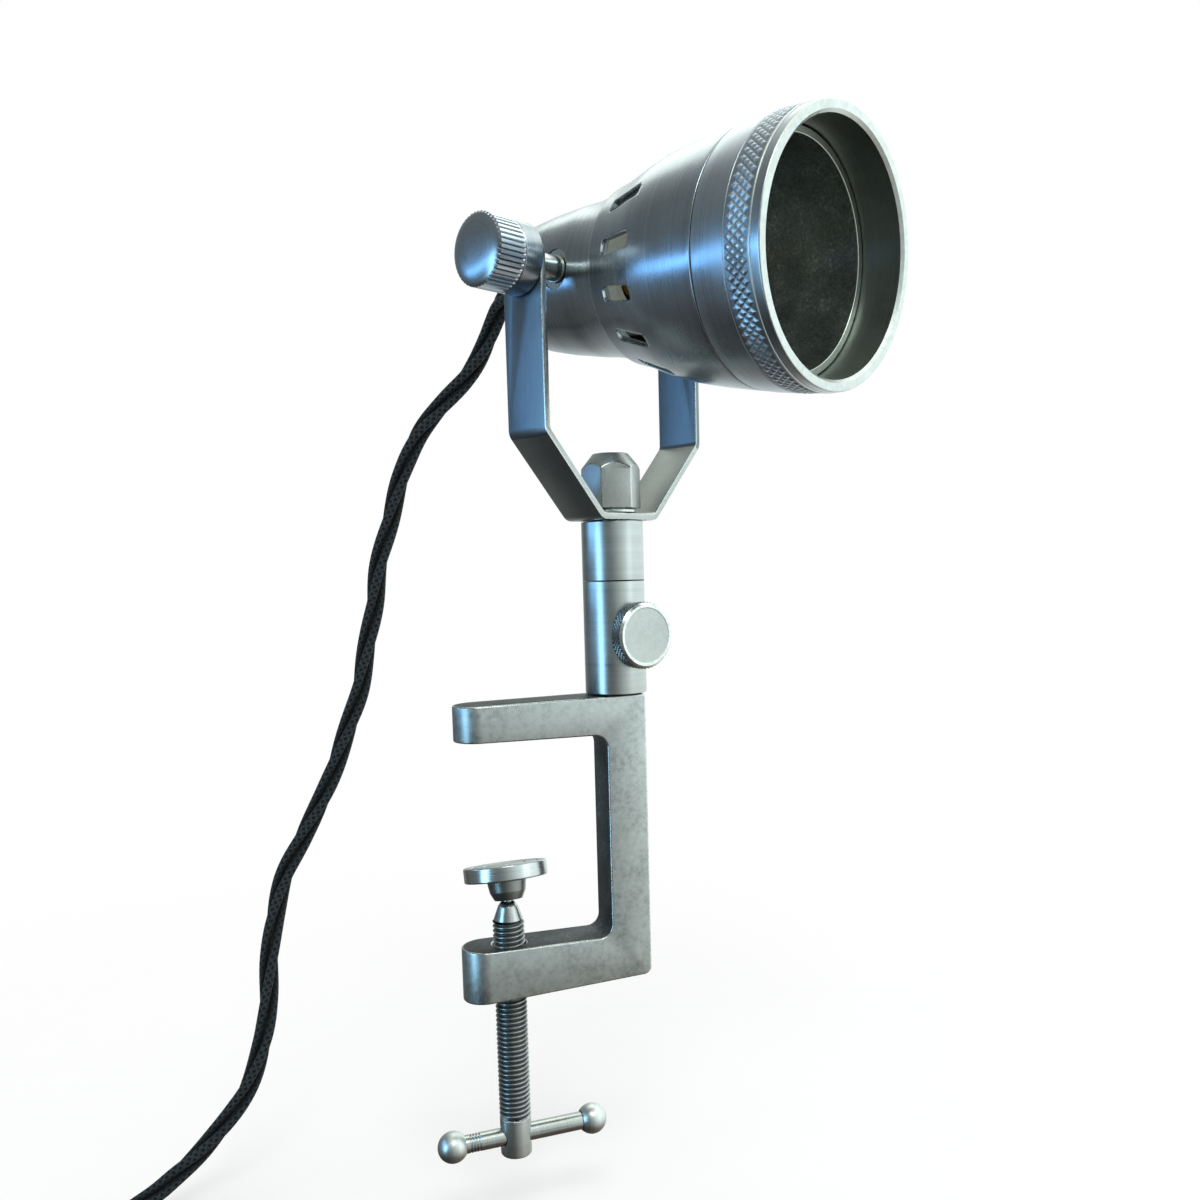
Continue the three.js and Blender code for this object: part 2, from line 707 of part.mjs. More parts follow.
// Lamp holder: a ceramic body that stands on the cup's tapering wall, with a metal shell in its bore
const cupInnerTable = cupOutside.slice(cupInnerFirst).map(([radius, place]) => [place, radius - cupWall]);
const holderSeatRadius = valueAt(cupInnerTable, holderRear) - gap;
const shellRadius = capRadius + gap + shellWall;
const holderBoreRadius = shellRadius + gap;
const holderBoreFloor = holderRear + holderFloor;
addPiece(head, 'lamp_holder', toSolid(alongHead(revolve([
  [0, holderRear],
  [holderSeatRadius, holderRear],
  [holderSeatRadius, holderRear + holderSeatLength],
  [holderRadius, holderRear + holderSeatLength + holderEdge],
  [holderRadius, holderFront - holderEdge],
  [holderRadius - holderEdge, holderFront],
  [holderBoreRadius, holderFront],
  [holderBoreRadius, holderBoreFloor],
  [0, holderBoreFloor],
], postSides))), ceramic);
const shellBottom = holderBoreFloor + gap;
addPiece(head, 'holder_shell', toSolid(alongHead(revolve([
  [capRadius + gap, shellBottom],
  [shellRadius, shellBottom],
  [shellRadius, holderFront - shellRecess],
  [capRadius + gap, holderFront - shellRecess],
], postSides))), brass);

// Small bulb: its cap stands on a contact at the bore's floor, its glass on the cap
const capBottom = shellBottom + contactLength;
const capTop = holderFront + gap;
addPiece(head, 'bulb_cap', toSolid(alongHead(revolve([
  [0, shellBottom],
  [contactRadius, shellBottom],
  [contactRadius, capBottom],
  [capRadius, capBottom + contactLength],
  [capRadius, capTop],
  [0, capTop],
], postSides))), brass);
const glassStart = capTop + gap;
const glassPlaces = glassOutlineShares.map(([along, across]) => [across * glassRadius, glassStart + along * glassLength]);
addPiece(head, 'bulb_glass', toSolid(alongHead(revolve([
  [0, glassStart],
  [glassNeckRadius, glassStart],
  ...glassPlaces,
  [0, glassStart + glassLength],
], postSides))), frostedGlass);

// Cord outlet: a bored gland through the cup's end, held by a nut inside
const glandSeat = cupRear - gap;
const glandFlangeBack = glandSeat - glandFlangeThickness;
const glandBack = glandFlangeBack - glandNoseLength;
const glandStemEnd = glandSeat + glandStemLength;
addPiece(head, 'cord_gland', toSolid(alongHead(revolve([
  [glandBoreRadius, glandBack],
  [glandNoseRadius, glandBack],
  [glandFlangeRadius - glandFlangeThickness, glandFlangeBack],
  [glandFlangeRadius, glandFlangeBack],
  [glandFlangeRadius, glandSeat],
  [glandStemRadius, glandSeat],
  [glandStemRadius, glandStemEnd],
  [glandBoreRadius, glandStemEnd],
], smallSides))), darkSteel);
const glandNutSeat = cupFloor + gap;
const glandNutBore = rod(glandHoleRadius, -cutOverrun, glandNutThickness + cutOverrun, smallSides);
const glandNutSolid = cut(toSolid(extrude(polygon(6, glandNutRadius, 0), glandNutThickness)), glandNutBore);
const glandNut = addPiece(head, 'gland_nut', glandNutSolid, brightSteel);
glandNut.position.y = -glandNutSeat;
glandNut.rotation.x = Math.PI / 2;

// Clamping pad: a disc on a bowl that closes round the ball, tilted a little on it
const padSeat = new THREE.Group();
padSeat.position.z = -ballDrop;
padSeat.rotation.z = padTurn;
lamp.add(padSeat);

// Places on a circle round the axis, by angle from straight down
function arcPlaces(centre, radius, from, to, steps) {
  return Array.from({ length: steps + 1 }, (_, i) => {
    const angle = from + (to - from) * i / steps;
    return [radius * Math.sin(angle), centre - radius * Math.cos(angle)];
  });
}
const ballSteps = 6;
const socketRadius = ballRadius + gap;
const mouthAngle = Math.asin(bowlMouthRadius / socketRadius);
const padTop = padFloorRise + padThickness;
const socketPlaces = arcPlaces(0, socketRadius, Math.PI, mouthAngle, ballSteps);
socketPlaces[0][0] = 0;
const pad = addPiece(padSeat, 'pad', toSolid(revolve([
  [0, socketPlaces[0][1]],
  ...socketPlaces.slice(1),
  [bowlMouthRadius, -bowlDrop],
  [bowlEndRadius, -bowlDrop],
  [bowlMiddleRadius, -bowlMiddleDrop],
  [bowlTopRadius, padFloorRise],
  [padRadius - padEdge, padFloorRise],
  [padRadius, padFloorRise + padEdge],
  [padRadius, padTop - padEdge],
  [padRadius - padEdge, padTop],
  [0, padTop],
], cupSides)), brightSteel);
pad.rotation.x = -padTilt;

// Swivel tip: the ball, its neck and the cone on the end of the clamp screw
const neckAngle = Math.asin(neckRadius / ballRadius);
const ballPlaces = arcPlaces(0, ballRadius, neckAngle, Math.PI, ballSteps);
ballPlaces[ballSteps][0] = 0;
const tip = addPiece(lamp, 'swivel_tip', toSolid(revolve([
  [0, -tipConeDrop - tipSpigotLength],
  [tipSpigotRadius, -tipConeDrop - tipSpigotLength],
  [tipSpigotRadius, -tipConeDrop],
  [tipConeRadius, -tipConeDrop],
  [tipConeBend, -tipConeBendDrop],
  [tipConeStartRadius, -tipConeStartDrop],
  [neckRadius, -tipConeStartDrop + postEdge],
  ...ballPlaces,
], postSides)), brightSteel);
tip.position.z = -ballDrop;

// Clamp screw, bored for the tip's spigot and cross-drilled for the bar
const screwTop = -ballDrop - tipConeDrop - gap;
const screwShoulder = screwTop - screwThreadLength;
const screwEnd = screwShoulder - screwEndLength;
const crossHoleHeight = screwShoulder - crossHoleDrop;
const screwBody = revolve([
  [0, screwEnd],
  [screwEndRadius - screwEdge, screwEnd],
  [screwEndRadius, screwEnd + screwEdge],
  [screwEndRadius, screwShoulder],
  [screwRadius, screwShoulder],
  [screwRadius, screwTop - screwEdge],
  [screwRadius - screwEdge, screwTop],
  [0, screwTop],
], postSides);
const crossHole = rod(barRadius + gap, -screwEndRadius - cutOverrun, screwEndRadius + cutOverrun, smallSides)
  .rotateY(Math.PI / 2)
  .rotateZ(barTurn)
  .translate(0, 0, crossHoleHeight);
const tipBore = rod(tipSpigotRadius + gap, screwTop - tipSpigotLength, screwTop + cutOverrun, smallSides);
addPiece(lamp, 'clamp_screw', cut(toSolid(screwBody), crossHole, tipBore), satinSteel);

// Cross bar with a ball on each end, slid a little to one side
const bar = new THREE.Group();
bar.position.z = crossHoleHeight;
bar.rotation.z = barTurn;
lamp.add(bar);
const barHalfLength = barBallReach + barInBall;
const barSolid = toSolid(rod(barRadius, -barHalfLength, barHalfLength, smallSides).rotateY(Math.PI / 2));
addPiece(bar, 'tommy_bar', barSolid, satinSteel).position.x = barSlide;
const ballBoreRadius = barRadius + gap;
const ballBoreAngle = Math.asin(ballBoreRadius / barBallRadius);
const endBallPlaces = arcPlaces(0, barBallRadius, ballBoreAngle, Math.PI, ballSteps);
endBallPlaces[ballSteps][0] = 0;
const endBall = () => revolve([
  ...endBallPlaces,
  [0, barInBall + gap],
  [ballBoreRadius, barInBall + gap],
], smallSides);
addPiece(bar, 'tommy_ball_left', toSolid(endBall().rotateY(-Math.PI / 2)), brightSteel).position.x = barSlide - barBallReach;
addPiece(bar, 'tommy_ball_right', toSolid(endBall().rotateY(Math.PI / 2)), brightSteel).position.x = barSlide + barBallReach;

// Cord: a straight stub behind the gland, then a free run that starts outside the stub's sweep
const cordRadius = cordDiameter / 2;
const cordHeadStart = glandBack - gap;
addPiece(head, 'cord_head', toSolid(alongHead(rod(cordRadius, -cordHeadEnd, cordHeadStart, cordSides))), cloth);

lamp.updateMatrixWorld(true);
const behindHead = (distance) => head.localToWorld(new THREE.Vector3(0, distance, 0));

function tube(points, steps) {
  const curve = new THREE.CatmullRomCurve3(points, false, 'centripetal');
  const section = polygon(cordSides, cordRadius, 0);
  return new THREE.ExtrudeGeometry(section, { steps, extrudePath: curve });
}
const asPoints = (route) => route.map(([x, y, z]) => new THREE.Vector3(x, y, z));
const runStart = cordHeadEnd + gap;
const runPoints = [behindHead(runStart), behindHead(runStart + cordRunLead), ...asPoints(cordRunRoute)];
addPiece(lamp, 'cord_run', toSolid(tube(runPoints, cordRunSteps)), cloth);
addPiece(lamp, 'cord_mid', toSolid(tube(asPoints(cordMidRoute), cordMidSteps)), cloth);
addPiece(lamp, 'cord_tail', toSolid(tube(asPoints(cordTailRoute), cordTailSteps)), cloth);

// Coil: the lower layer winds in, climbs in half a turn and the upper layer winds out
const coilTurns = 2 * coilTurnsPerLayer + coilClimbTurns;
const coilLow = coilRaise + cordRadius - layDrop;
const coilRadiusAt = (turn) => coilOuterRadius - coilPitch * (coilTurns / 2 - Math.abs(turn - coilTurns / 2));
function coilPlace(turn) {
  const angle = coilStart + turn * 2 * Math.PI;
  const climbed = (turn - coilTurnsPerLayer) / coilClimbTurns;
  const radius = coilRadiusAt(turn);
  const height = coilLow + coilPitch * THREE.MathUtils.smoothstep(climbed, 0, 1);
  return new THREE.Vector3(coilX + radius * Math.cos(angle), coilY + radius * Math.sin(angle), height);
}
const coilSteps = Math.round(coilTurns * coilLoopSteps);
const windingPlaces = Array.from({ length: coilSteps + 1 }, (_, i) => coilPlace(coilTurns * i / coilSteps));
const coilWay = (angle) => new THREE.Vector3(-Math.sin(angle), Math.cos(angle), 0);
const startWay = coilWay(coilStart);
const endWay = coilWay(coilStart + coilTurns * 2 * Math.PI);
const coilPlaces = [
  windingPlaces[0].clone().addScaledVector(startWay, -cordDiameter),
  ...windingPlaces,
  windingPlaces[coilSteps].clone().addScaledVector(endWay, cordDiameter),
];

// One unbroken tube through places that lie nearly level, with flat ends square to its first and last step
function levelTube(places, radius, sides) {
  const rings = places.map((place, i) => {
    const from = places[Math.max(i - 1, 0)];
    const to = places[Math.min(i + 1, places.length - 1)];
    const way = to.clone().sub(from).normalize();
    const side = new THREE.Vector3().crossVectors(way, new THREE.Vector3(0, 0, 1)).normalize();
    const up = new THREE.Vector3().crossVectors(side, way);
    return Array.from({ length: sides }, (_, k) => {
      const angle = (k + 1 / 2) * 2 * Math.PI / sides;
      return place.clone()
        .addScaledVector(side, radius * Math.cos(angle))
        .addScaledVector(up, radius * Math.sin(angle));
    });
  });
  const positions = rings.flat().flatMap((point) => point.toArray());
  const index = [];
  for (let i = 0; i + 1 < rings.length; i += 1) {
    for (let k = 0; k < sides; k += 1) {
      const [a, b] = [i * sides + k, i * sides + (k + 1) % sides];
      index.push(a, a + sides, b, b, a + sides, b + sides);
    }
  }
  const lastRing = (rings.length - 1) * sides;
  for (let k = 1; k + 1 < sides; k += 1) {
    index.push(0, k, k + 1);
    index.push(lastRing, lastRing + k + 1, lastRing + k);
  }
  const geometry = new THREE.BufferGeometry();
  geometry.setAttribute('position', new THREE.Float32BufferAttribute(positions, 3));
  geometry.setIndex(index);
  return geometry;
}
addPiece(lamp, 'cord_coil', toSolid(levelTube(coilPlaces, cordRadius, coilSides)), cloth);

// The coil's least gap to itself, measured between its middle line's steps that are half a loop or more apart
function leastGap(places, radius, apart) {
  const nearest = new THREE.Vector3();
  let least = Infinity;
  places.forEach((place, i) => {
    for (let k = i + apart; k + 1 < places.length; k += 1) {
      new THREE.Line3(places[k], places[k + 1]).closestPointToPoint(place, true, nearest);
      least = Math.min(least, nearest.distanceTo(place) - 2 * radius);
    }
  });
  return least;
}
const coilGap = leastGap(coilPlaces, cordRadius, coilLoopSteps / 2);
console.log(`cord_coil: ${coilTurns} loops, least gap to itself ${coilGap.toFixed(2)} mm`);

// Band round the coil's bundle, on its far side
const tiedRadii = Array.from({ length: Math.floor(coilTurns) }, (_, i) => coilRadiusAt(tieTurn + i));
const tieInner = Math.min(...tiedRadii) - cordRadius - tieRoom;
const tieOuter = Math.max(...tiedRadii) + cordRadius + tieRoom;
const tieSpan = tieOuter - tieInner;
const tieLow = coilLow - cordRadius - gap;
const tieRise = coilPitch + cordDiameter + 2 * gap;
const tieOutline = rectangle(tieSpan + 2 * tieWall, tieRise + 2 * tieWall, tieCorner);
tieOutline.holes.push(rectangle(tieSpan, tieRise, tieCorner - tieWall));
const tie = addPiece(lamp, 'coil_tie', toSolid(uprightPlate(tieOutline, tieWidth).rotateZ(Math.PI / 2)), blackPlastic);
tie.position.set(coilX, coilY + (tieInner + tieOuter) / 2, tieLow + tieRise / 2);

// In-line switch: two half shells and a rocker in a pocket of the upper one
const inlineSwitch = new THREE.Group();
inlineSwitch.position.set(switchX, switchY, -layDrop);
lamp.add(inlineSwitch);
const switchHalfHeight = (switchHeight - gap) / 2;
const switchHalf = () => new THREE.ExtrudeGeometry(
  rectangle(switchWidth - 2 * switchChamfer, switchLength - 2 * switchChamfer, switchCorner - switchChamfer),
  {
    depth: switchHalfHeight - 2 * switchChamfer,
    bevelThickness: switchChamfer,
    bevelSize: switchChamfer,
    bevelSegments: 1,
  },
).translate(0, 0, switchChamfer);
addPiece(inlineSwitch, 'switch_lower', toSolid(switchHalf()), blackPlastic);
const rockerPivotHeight = switchHeight - rockerPivotDrop;
const pocketLength = 2 * (rockerHalfLength + rockerPocketRoom);
const pocketWidth = 2 * (rockerHalfWidth + gap);
const pocket = extrude(rectangle(pocketWidth, pocketLength, 0), rockerPocketDepth + cutOverrun)
  .translate(0, 0, switchHeight - rockerPocketDepth);
const upperHalf = switchHalf().translate(0, 0, switchHalfHeight + gap);
addPiece(inlineSwitch, 'switch_upper', cut(toSolid(upperHalf), pocket), blackPlastic);
const rockerOutline = outline([
  [-rockerHalfLength, rockerRise, 0], [-rockerHalfLength, -rockerSideDrop, 0], [0, -rockerDrop, 0],
  [rockerHalfLength, -rockerSideDrop, 0], [rockerHalfLength, rockerRise, 0], [0, rockerDip, 0],
]);
const rockerSolid = toSolid(uprightPlate(rockerOutline, 2 * rockerHalfWidth).rotateZ(Math.PI / 2));
const rocker = addPiece(inlineSwitch, 'switch_rocker', rockerSolid, blackPlastic);
rocker.position.z = rockerPivotHeight;
rocker.rotation.x = rockerTilt;

// Plug: a tapered strain relief on a round body, two flat blades and a round earth pin
const plug = new THREE.Group();
plug.position.set(plugX, plugY, plugRadius - layDrop);
lamp.add(plug);
const plugBodyStart = plugReliefLength;
const plugFace = plugBodyStart + plugBodyLength;
const plugBody = awayFromKnob(revolve([
  [0, 0],
  [plugReliefStartRadius, 0],
  [plugReliefEndRadius, plugBodyStart],
  [plugRadius - plugEdge, plugBodyStart + plugEdge],
  [plugRadius, plugBodyStart + 2 * plugEdge],
  [plugRadius, plugFace - plugFaceInset],
  [plugRadius - plugFaceInset, plugFace],
  [0, plugFace],
], postSides));
const bladeStart = plugFace - bladeSocketDepth;
const bladeBlock = (room, length) => new THREE.BoxGeometry(length, bladeThickness + 2 * room, bladeHeight + 2 * room);
const bladeSocket = (side) => bladeBlock(gap, bladeSocketDepth + cutOverrun)
  .translate(bladeStart + (bladeSocketDepth + cutOverrun) / 2, side * bladeSpacing / 2, -bladeDrop);
const earthSocket = awayFromKnob(rod(earthPinRadius + gap, bladeStart, plugFace + cutOverrun, smallSides))
  .translate(0, 0, earthPinRise);
addPiece(plug, 'plug_body', cut(toSolid(plugBody), bladeSocket(-1), bladeSocket(1), earthSocket), blackPlastic);
const bladeWhole = bladeLength + bladeSocketDepth - gap;
const blade = (side) => bladeBlock(0, bladeWhole)
  .translate(bladeStart + gap + bladeWhole / 2, side * bladeSpacing / 2, -bladeDrop);
addPiece(plug, 'plug_blade_left', toSolid(blade(-1)), brass);
addPiece(plug, 'plug_blade_right', toSolid(blade(1)), brass);
const earthPin = awayFromKnob(rod(earthPinRadius, bladeStart + gap, plugFace + earthPinLength, smallSides));
addPiece(plug, 'plug_earth_pin', toSolid(earthPin.translate(0, 0, earthPinRise)), brass);

export default lamp;
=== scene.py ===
"""Looks of a clamp desk lamp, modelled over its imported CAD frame.

Lengths in this file are millimetres, as in the part's source, and the modelling helpers turn them to metres.
"""

import json
import math

import bpy
from mathutils import Matrix, Vector

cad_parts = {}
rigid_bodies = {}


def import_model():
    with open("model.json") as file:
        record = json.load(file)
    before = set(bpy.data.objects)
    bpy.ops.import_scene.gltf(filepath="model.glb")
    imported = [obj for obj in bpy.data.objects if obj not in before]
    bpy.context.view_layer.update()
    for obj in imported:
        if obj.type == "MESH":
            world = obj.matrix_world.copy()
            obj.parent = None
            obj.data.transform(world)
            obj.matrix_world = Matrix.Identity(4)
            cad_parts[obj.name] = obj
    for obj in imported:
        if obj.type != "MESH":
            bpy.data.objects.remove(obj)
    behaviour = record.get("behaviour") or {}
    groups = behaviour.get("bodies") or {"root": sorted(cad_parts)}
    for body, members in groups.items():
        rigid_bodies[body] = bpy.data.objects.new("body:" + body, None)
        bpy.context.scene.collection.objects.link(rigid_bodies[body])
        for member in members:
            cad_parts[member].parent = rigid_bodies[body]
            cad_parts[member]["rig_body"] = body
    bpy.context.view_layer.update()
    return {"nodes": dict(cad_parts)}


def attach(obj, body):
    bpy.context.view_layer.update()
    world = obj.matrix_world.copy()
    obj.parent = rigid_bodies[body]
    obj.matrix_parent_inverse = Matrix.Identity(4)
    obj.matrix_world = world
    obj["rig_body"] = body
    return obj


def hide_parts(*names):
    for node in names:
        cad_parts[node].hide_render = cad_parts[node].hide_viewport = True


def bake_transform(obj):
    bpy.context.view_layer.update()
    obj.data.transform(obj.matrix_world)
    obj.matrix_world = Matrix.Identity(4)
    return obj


bl_info = {
    "name": "Clamp desk lamp",
    "version": (1, 0, 0),
    "blender": (4, 5, 0),
    "location": "View3D > Sidebar > Lamp",
    "description": "Models a clamp desk lamp over its packed CAD frame",
    "category": "Object",
}

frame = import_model()

MM = 0.001
MERGE_DISTANCE = 0.002
SMOOTH_ANGLE = 32
FINE_SIDES = 128
SMALL_SIDES = 64
FAIR_SPACING = 1.5

# Steps of a corner's arc: small edges, bends, half-round ends and knurled pieces
ARC_STEPS = 5
BEND_STEPS = 10
HALF_ROUND_STEPS = 24
KNURL_EASE_STEPS = 8
KNURL_SMOOTH_ANGLE = 14

# Clearance between pieces, and the usual radii of turned edges
CLEARANCE = 0.3
HAIR_EDGE = 0.15
FINE_EDGE = 0.2
EDGE = 0.3
SOFT_EDGE = 0.4

# Clamp frame, as in the part's source
FRAME_WIDTH = 15.2
JAW_OPENING = 63.4
TIP_REACH = 14.7
POST_OFFSET = 36.8
BAR_INSIDE = 5.6
BAR_OUTSIDE = 7
UPPER_ROOT = 12
UPPER_TIP = 10.9
LOWER_ROOT = 13.2
LOWER_TIP = 16.3
INNER_CORNER = 4
OUTER_CORNER = 2.5
SCREW_BORE = 5.15
CUT_OVERRUN = 1

# Post
POST_RADIUS = 9.5
SOCKET_BOTTOM = 12.3
SOCKET_TOP = 46.77
SOCKET_FLOOR = 18.95
SOCKET_BORE = 5.5
FOOT_RADIUS = 4
FOOT_LENGTH = 8
STEM_BOTTOM = 46.85
STEM_TOP = 64.8
SPIGOT_RADIUS = 5.2
SPIGOT_LENGTH = 26
STUD_RADIUS = 4.7
STUD_BORE = STUD_RADIUS + CLEARANCE
STUD_TOP = 80.4
POST_EASE = 0.18

# Lock screw, along its own axis from the post's middle
LOCK_HEIGHT = 30.3
LOCK_ANGLE = -71.4
LOCK_STEM = 3
LOCK_STEM_END = 4.7
GROOVE_RADIUS = 4.4
GROOVE_HALF = 3.5
LOCK_BACK = 11
LOCK_FRONT = 16.2
LOCK_RADIUS = 9.85
LOCK_RIM = 0.7
LOCK_DISH = 0.15
LOCK_KNURLS = 48
LOCK_KNURL_ROWS = 6
LOCK_KNURL_HEIGHT = 0.34

# Yoke, washer and cap nut
PAN_ANGLE = 29
YOKE_UNDER = 65.1
STRIP_THICKNESS = 2
STRIP_WIDTH = 15.6
YOKE_HALF = 34.3
YOKE_FLAT_HALF = 11.6
YOKE_BEND_RISE = 24.3
TILT_RISE = 71.3
YOKE_BEND = 3
WASHER_BOTTOM = 67.4
WASHER_TOP = 68.4
WASHER_RADIUS = 7.5
NUT_BOTTOM = 68.7
NUT_TOP = 85.4
NUT_SHOULDER = 80.6
NUT_ACROSS = 16
NUT_TOP_RADIUS = 5.4
NUT_TURN = 24.6
NUT_BORE_END = 80.7
NUT_FOOT_IN = 0.6
NUT_FOOT_RISE = 0.8
NUT_TOP_EASE = 0.8

# Head: places along its axis run from the tilt axis, forward positive
TILT_ANGLE = 5.585
CUP_REAR = -27
CUP_FRONT = 16.55
CUP_RADIUS = 24.2
CUP_WALL = 2.2
CUP_FLOOR = 2.6
CUP_HOLE = 5.3
SPIGOT_STEP = 4
SPIGOT_WALL = 1.6
CUP_OUTLINE = (
    (0, 0.6), (0.023, 0.686), (0.069, 0.752), (0.115, 0.785), (0.207, 0.814), (0.344, 0.851),
    (0.482, 0.876), (0.62, 0.901), (0.758, 0.917), (0.896, 0.955), (1, 1),
)
BELL_REAR = 16.85
BELL_FRONT = 59.85
BELL_RADIUS = 33.7
BELL_WALL = 1.8
BELL_LIP_EASE = 0.45
BELL_OUTLINE = (
    (0, 0.745), (0.12, 0.78), (0.259, 0.834), (0.399, 0.89), (0.538, 0.926), (0.678, 0.953),
    (0.817, 0.976), (1, 1),
)
NOSE_FRONT = 69.2
NOSE_RADIUS = 31.24
BELL_BORE = 29.1
BELL_BORE_BACK = 38.5
VENT_COUNT = 14
VENT_FIRST = 4.6
VENT_START = 23
VENT_LENGTH = 13
VENT_WIDTH = 4
VENT_OUTWARD = 1.6
VENT_PAINT_END = 37
BEZEL_REAR = 60.15
BEZEL_FRONT = 81.6
BEZEL_RADIUS = 34.9
BEZEL_BORE = 31.54
BEZEL_CHAMFER = 0.8
BEZEL_KNURL_START = 71.1
BEZEL_KNURL_END = 77.9
BEZEL_KNURLS = 92
BEZEL_KNURL_ROWS = 5
BEZEL_KNURL_HEIGHT = 0.42

# Pivots, tilt knob and its opposite nut: places along the tilt axis run outward
PIVOT_RADIUS = 2.9
PIVOT_BORE = PIVOT_RADIUS + CLEARANCE
PIVOT_INNER = 17.2
PIVOT_FACE = 20.6
PIVOT_FACE_RADIUS = 5.6
PIVOT_FLANGE_START = 20.9
PIVOT_FLANGE_END = 21.5
PIVOT_FLANGE_RADIUS = 3.9
PIVOT_SHOULDER_RADIUS = 3.45
PIVOT_SHOULDER_END = 32
PIVOT_END_IN_KNOB = 46
PIVOT_END_IN_NUT = 39.3
ARM_OUTSIDE = 34.6
KNOB_RADIUS = 9.8
KNOB_COLLAR = 6.8
KNOB_LENGTH = 15.4
KNOB_DOME = 2
KNOB_DOME_OUTLINE = ((1, 0), (0.93, 0.28), (0.76, 0.6), (0.52, 0.84), (0.26, 0.96), (0, 1))
KNOB_BORE_END = 46.3
KNOB_RIBS = 44
KNOB_RIB_DEPTH = 0.55
END_NUT_ACROSS = 10
END_NUT_LENGTH = 8
END_NUT_SHOULDER = 4.6
END_NUT_TOP_RADIUS = 2.4
END_NUT_BORE = 5

# Lamp holder and bulb
HOLDER_REAR = -21
HOLDER_FRONT = 14
HOLDER_SEAT_RADIUS = 16.5
HOLDER_RADIUS = 16
HOLDER_BORE = 8.6
HOLDER_FLOOR = -16
HOLDER_SEAT_LENGTH = 6
HOLDER_SEAT_SLOPE = 1
HOLDER_GROOVE_OUTER = 12.4
HOLDER_GROOVE_INNER = 10
HOLDER_GROOVE_SLOPE = 0.4
HOLDER_GROOVE_DEPTH = 0.8
SHELL_INNER = 7.3
SHELL_OUTER = 8.3
SHELL_INSET = 1.5
CAP_RADIUS = 7
CAP_OUTLINE = ((0, -15.7), (3, -15.7, 0.6), (3, -14.4, EDGE), (6.6, -10.9, SOFT_EDGE))

# Rolled threads of the shell and the cap: radius, start, step and count of their places
SHELL_WAVES = (7.45, 11.5, -0.6, 44)
CAP_WAVES = (6.85, -9.5, 0.5, 42)
WAVE_DEPTH = 0.15
WAVE_STEPS = 6

# Bulb glass, along its length and out to its radius
GLASS_START = 14.6
GLASS_LENGTH = 31.5
GLASS_RADIUS = 11
GLASS_NECK = 6.6
GLASS_OUTLINE = ((0.07, 0.61), (0.2, 0.83), (0.36, 0.97), (0.52, 1), (0.7, 0.94), (0.85, 0.76), (0.95, 0.48))

# Cord outlet
GLAND_SEAT = -27.3
GLAND_BACK = -33
GLAND_FLANGE = 7.5
GLAND_NOSE = 4.6
GLAND_BORE = 3.6
GLAND_STEM = 5
GLAND_STEP = -29.3
GLAND_FRONT = -22.2
GLAND_NUT_ACROSS = 8 * math.sqrt(3)
GLAND_NUT_BACK = -24.1
GLAND_NUT_FRONT = -22.1

# Pad, swivel tip, clamp screw and cross bar
BALL_DROP = 45.6
PAD_TURN = 10.3
PAD_TILT = 12.2
PAD_RADIUS = 12.8
PAD_FLOOR = 2.3
PAD_TOP = 6.9
PAD_RING = (
    (10.6, PAD_TOP, FINE_EDGE), (10.4, PAD_TOP - 0.3, 0.1), (9.9, PAD_TOP - 0.3, 0.1),
    (9.7, PAD_TOP, FINE_EDGE),
)
PAD_RING_GROWTH = -4
PAD_SOCKET = 3.5
PAD_MOUTH = 2.9
BOWL_TOP_RADIUS = 6
BOWL_MIDDLE_RADIUS = 5.5
BOWL_MIDDLE = -1.5
BOWL_END_RADIUS = 4.3
BOWL_END = -4
BALL_RADIUS = 3.2
TIP_CONE = 4.6
TIP_BOTTOM = -10.4
TIP_NECK = 1.5
TIP_ROOT = 2
TIP_ROOT_LENGTH = 5
SCREW_TOP = -56.3
SCREW_SHOULDER = -118.5
SCREW_END = -131.1
SCREW_CREST = 4.92
SCREW_ROOT = 4.05
SCREW_END_RADIUS = 4.85
THREAD_PITCH = 1.5
THREAD_STEPS = 40
THREAD_EASE = 0.28
GROOVE_FOOT = 0.72
GROOVE_CREST = 0.2
CROSS_HEIGHT = -125.2
BAR_TURN = 3
BAR_RADIUS = 2.75
BAR_BORE = BAR_RADIUS + CLEARANCE
BAR_RING = ((BAR_RADIUS, -17.6), (BAR_RADIUS - 0.2, -17.4), (BAR_RADIUS - 0.2, -17.2), (BAR_RADIUS, -17))
BAR_RING_COUNT = 4
BAR_RING_STEP = 0.9
BAR_SLIDE = 2.6
BAR_REACH = 22.65
BAR_BALL = 4.75

# Cord route, as in the part's source
CORD_LEAD = (31, 36, 40.3, 44)
CORD_RUN = (
    (13.9, 43.2, 139), (12.9, 47.2, 135), (11.2, 50.3, 129.5), (7.9, 52.8, 122.9), (3.2, 55, 116.3),
    (-4, 58.2, 108), (-12.6, 60.9, 97.8), (-18.5, 62.8, 84), (-23.1, 64.2, 68.8), (-27.6, 64, 53),
    (-30, 63.3, 39), (-33.8, 62.3, 22), (-36.9, 61.4, 9), (-43.3, 61, -8), (-50.1, 60.5, -24.3),
    (-57.8, 60.3, -38), (-64.2, 59.9, -50.6), (-68.2, 58, -63.5), (-70.4, 55.7, -76.8), (-71.9, 53.3, -90),
    (-74, 50.5, -102.9), (-79, 48.5, -116), (-86, 47.1, -126.4), (-94.3, 46.2, -135), (-102.8, 45.4, -141.7),
    (-110, 44.2, -147), (-120, 40.6, -150.6), (-128, 33.9, -151.6), (-133.2, 24.9, -151.6),
    (-135, 14.6, -151), (-135, 2, -148.5), (-135, -12, -145.5), (-135, -24.6, -145),
)
CORD_THROUGH_SWITCH = ((-135, -55, -145),)
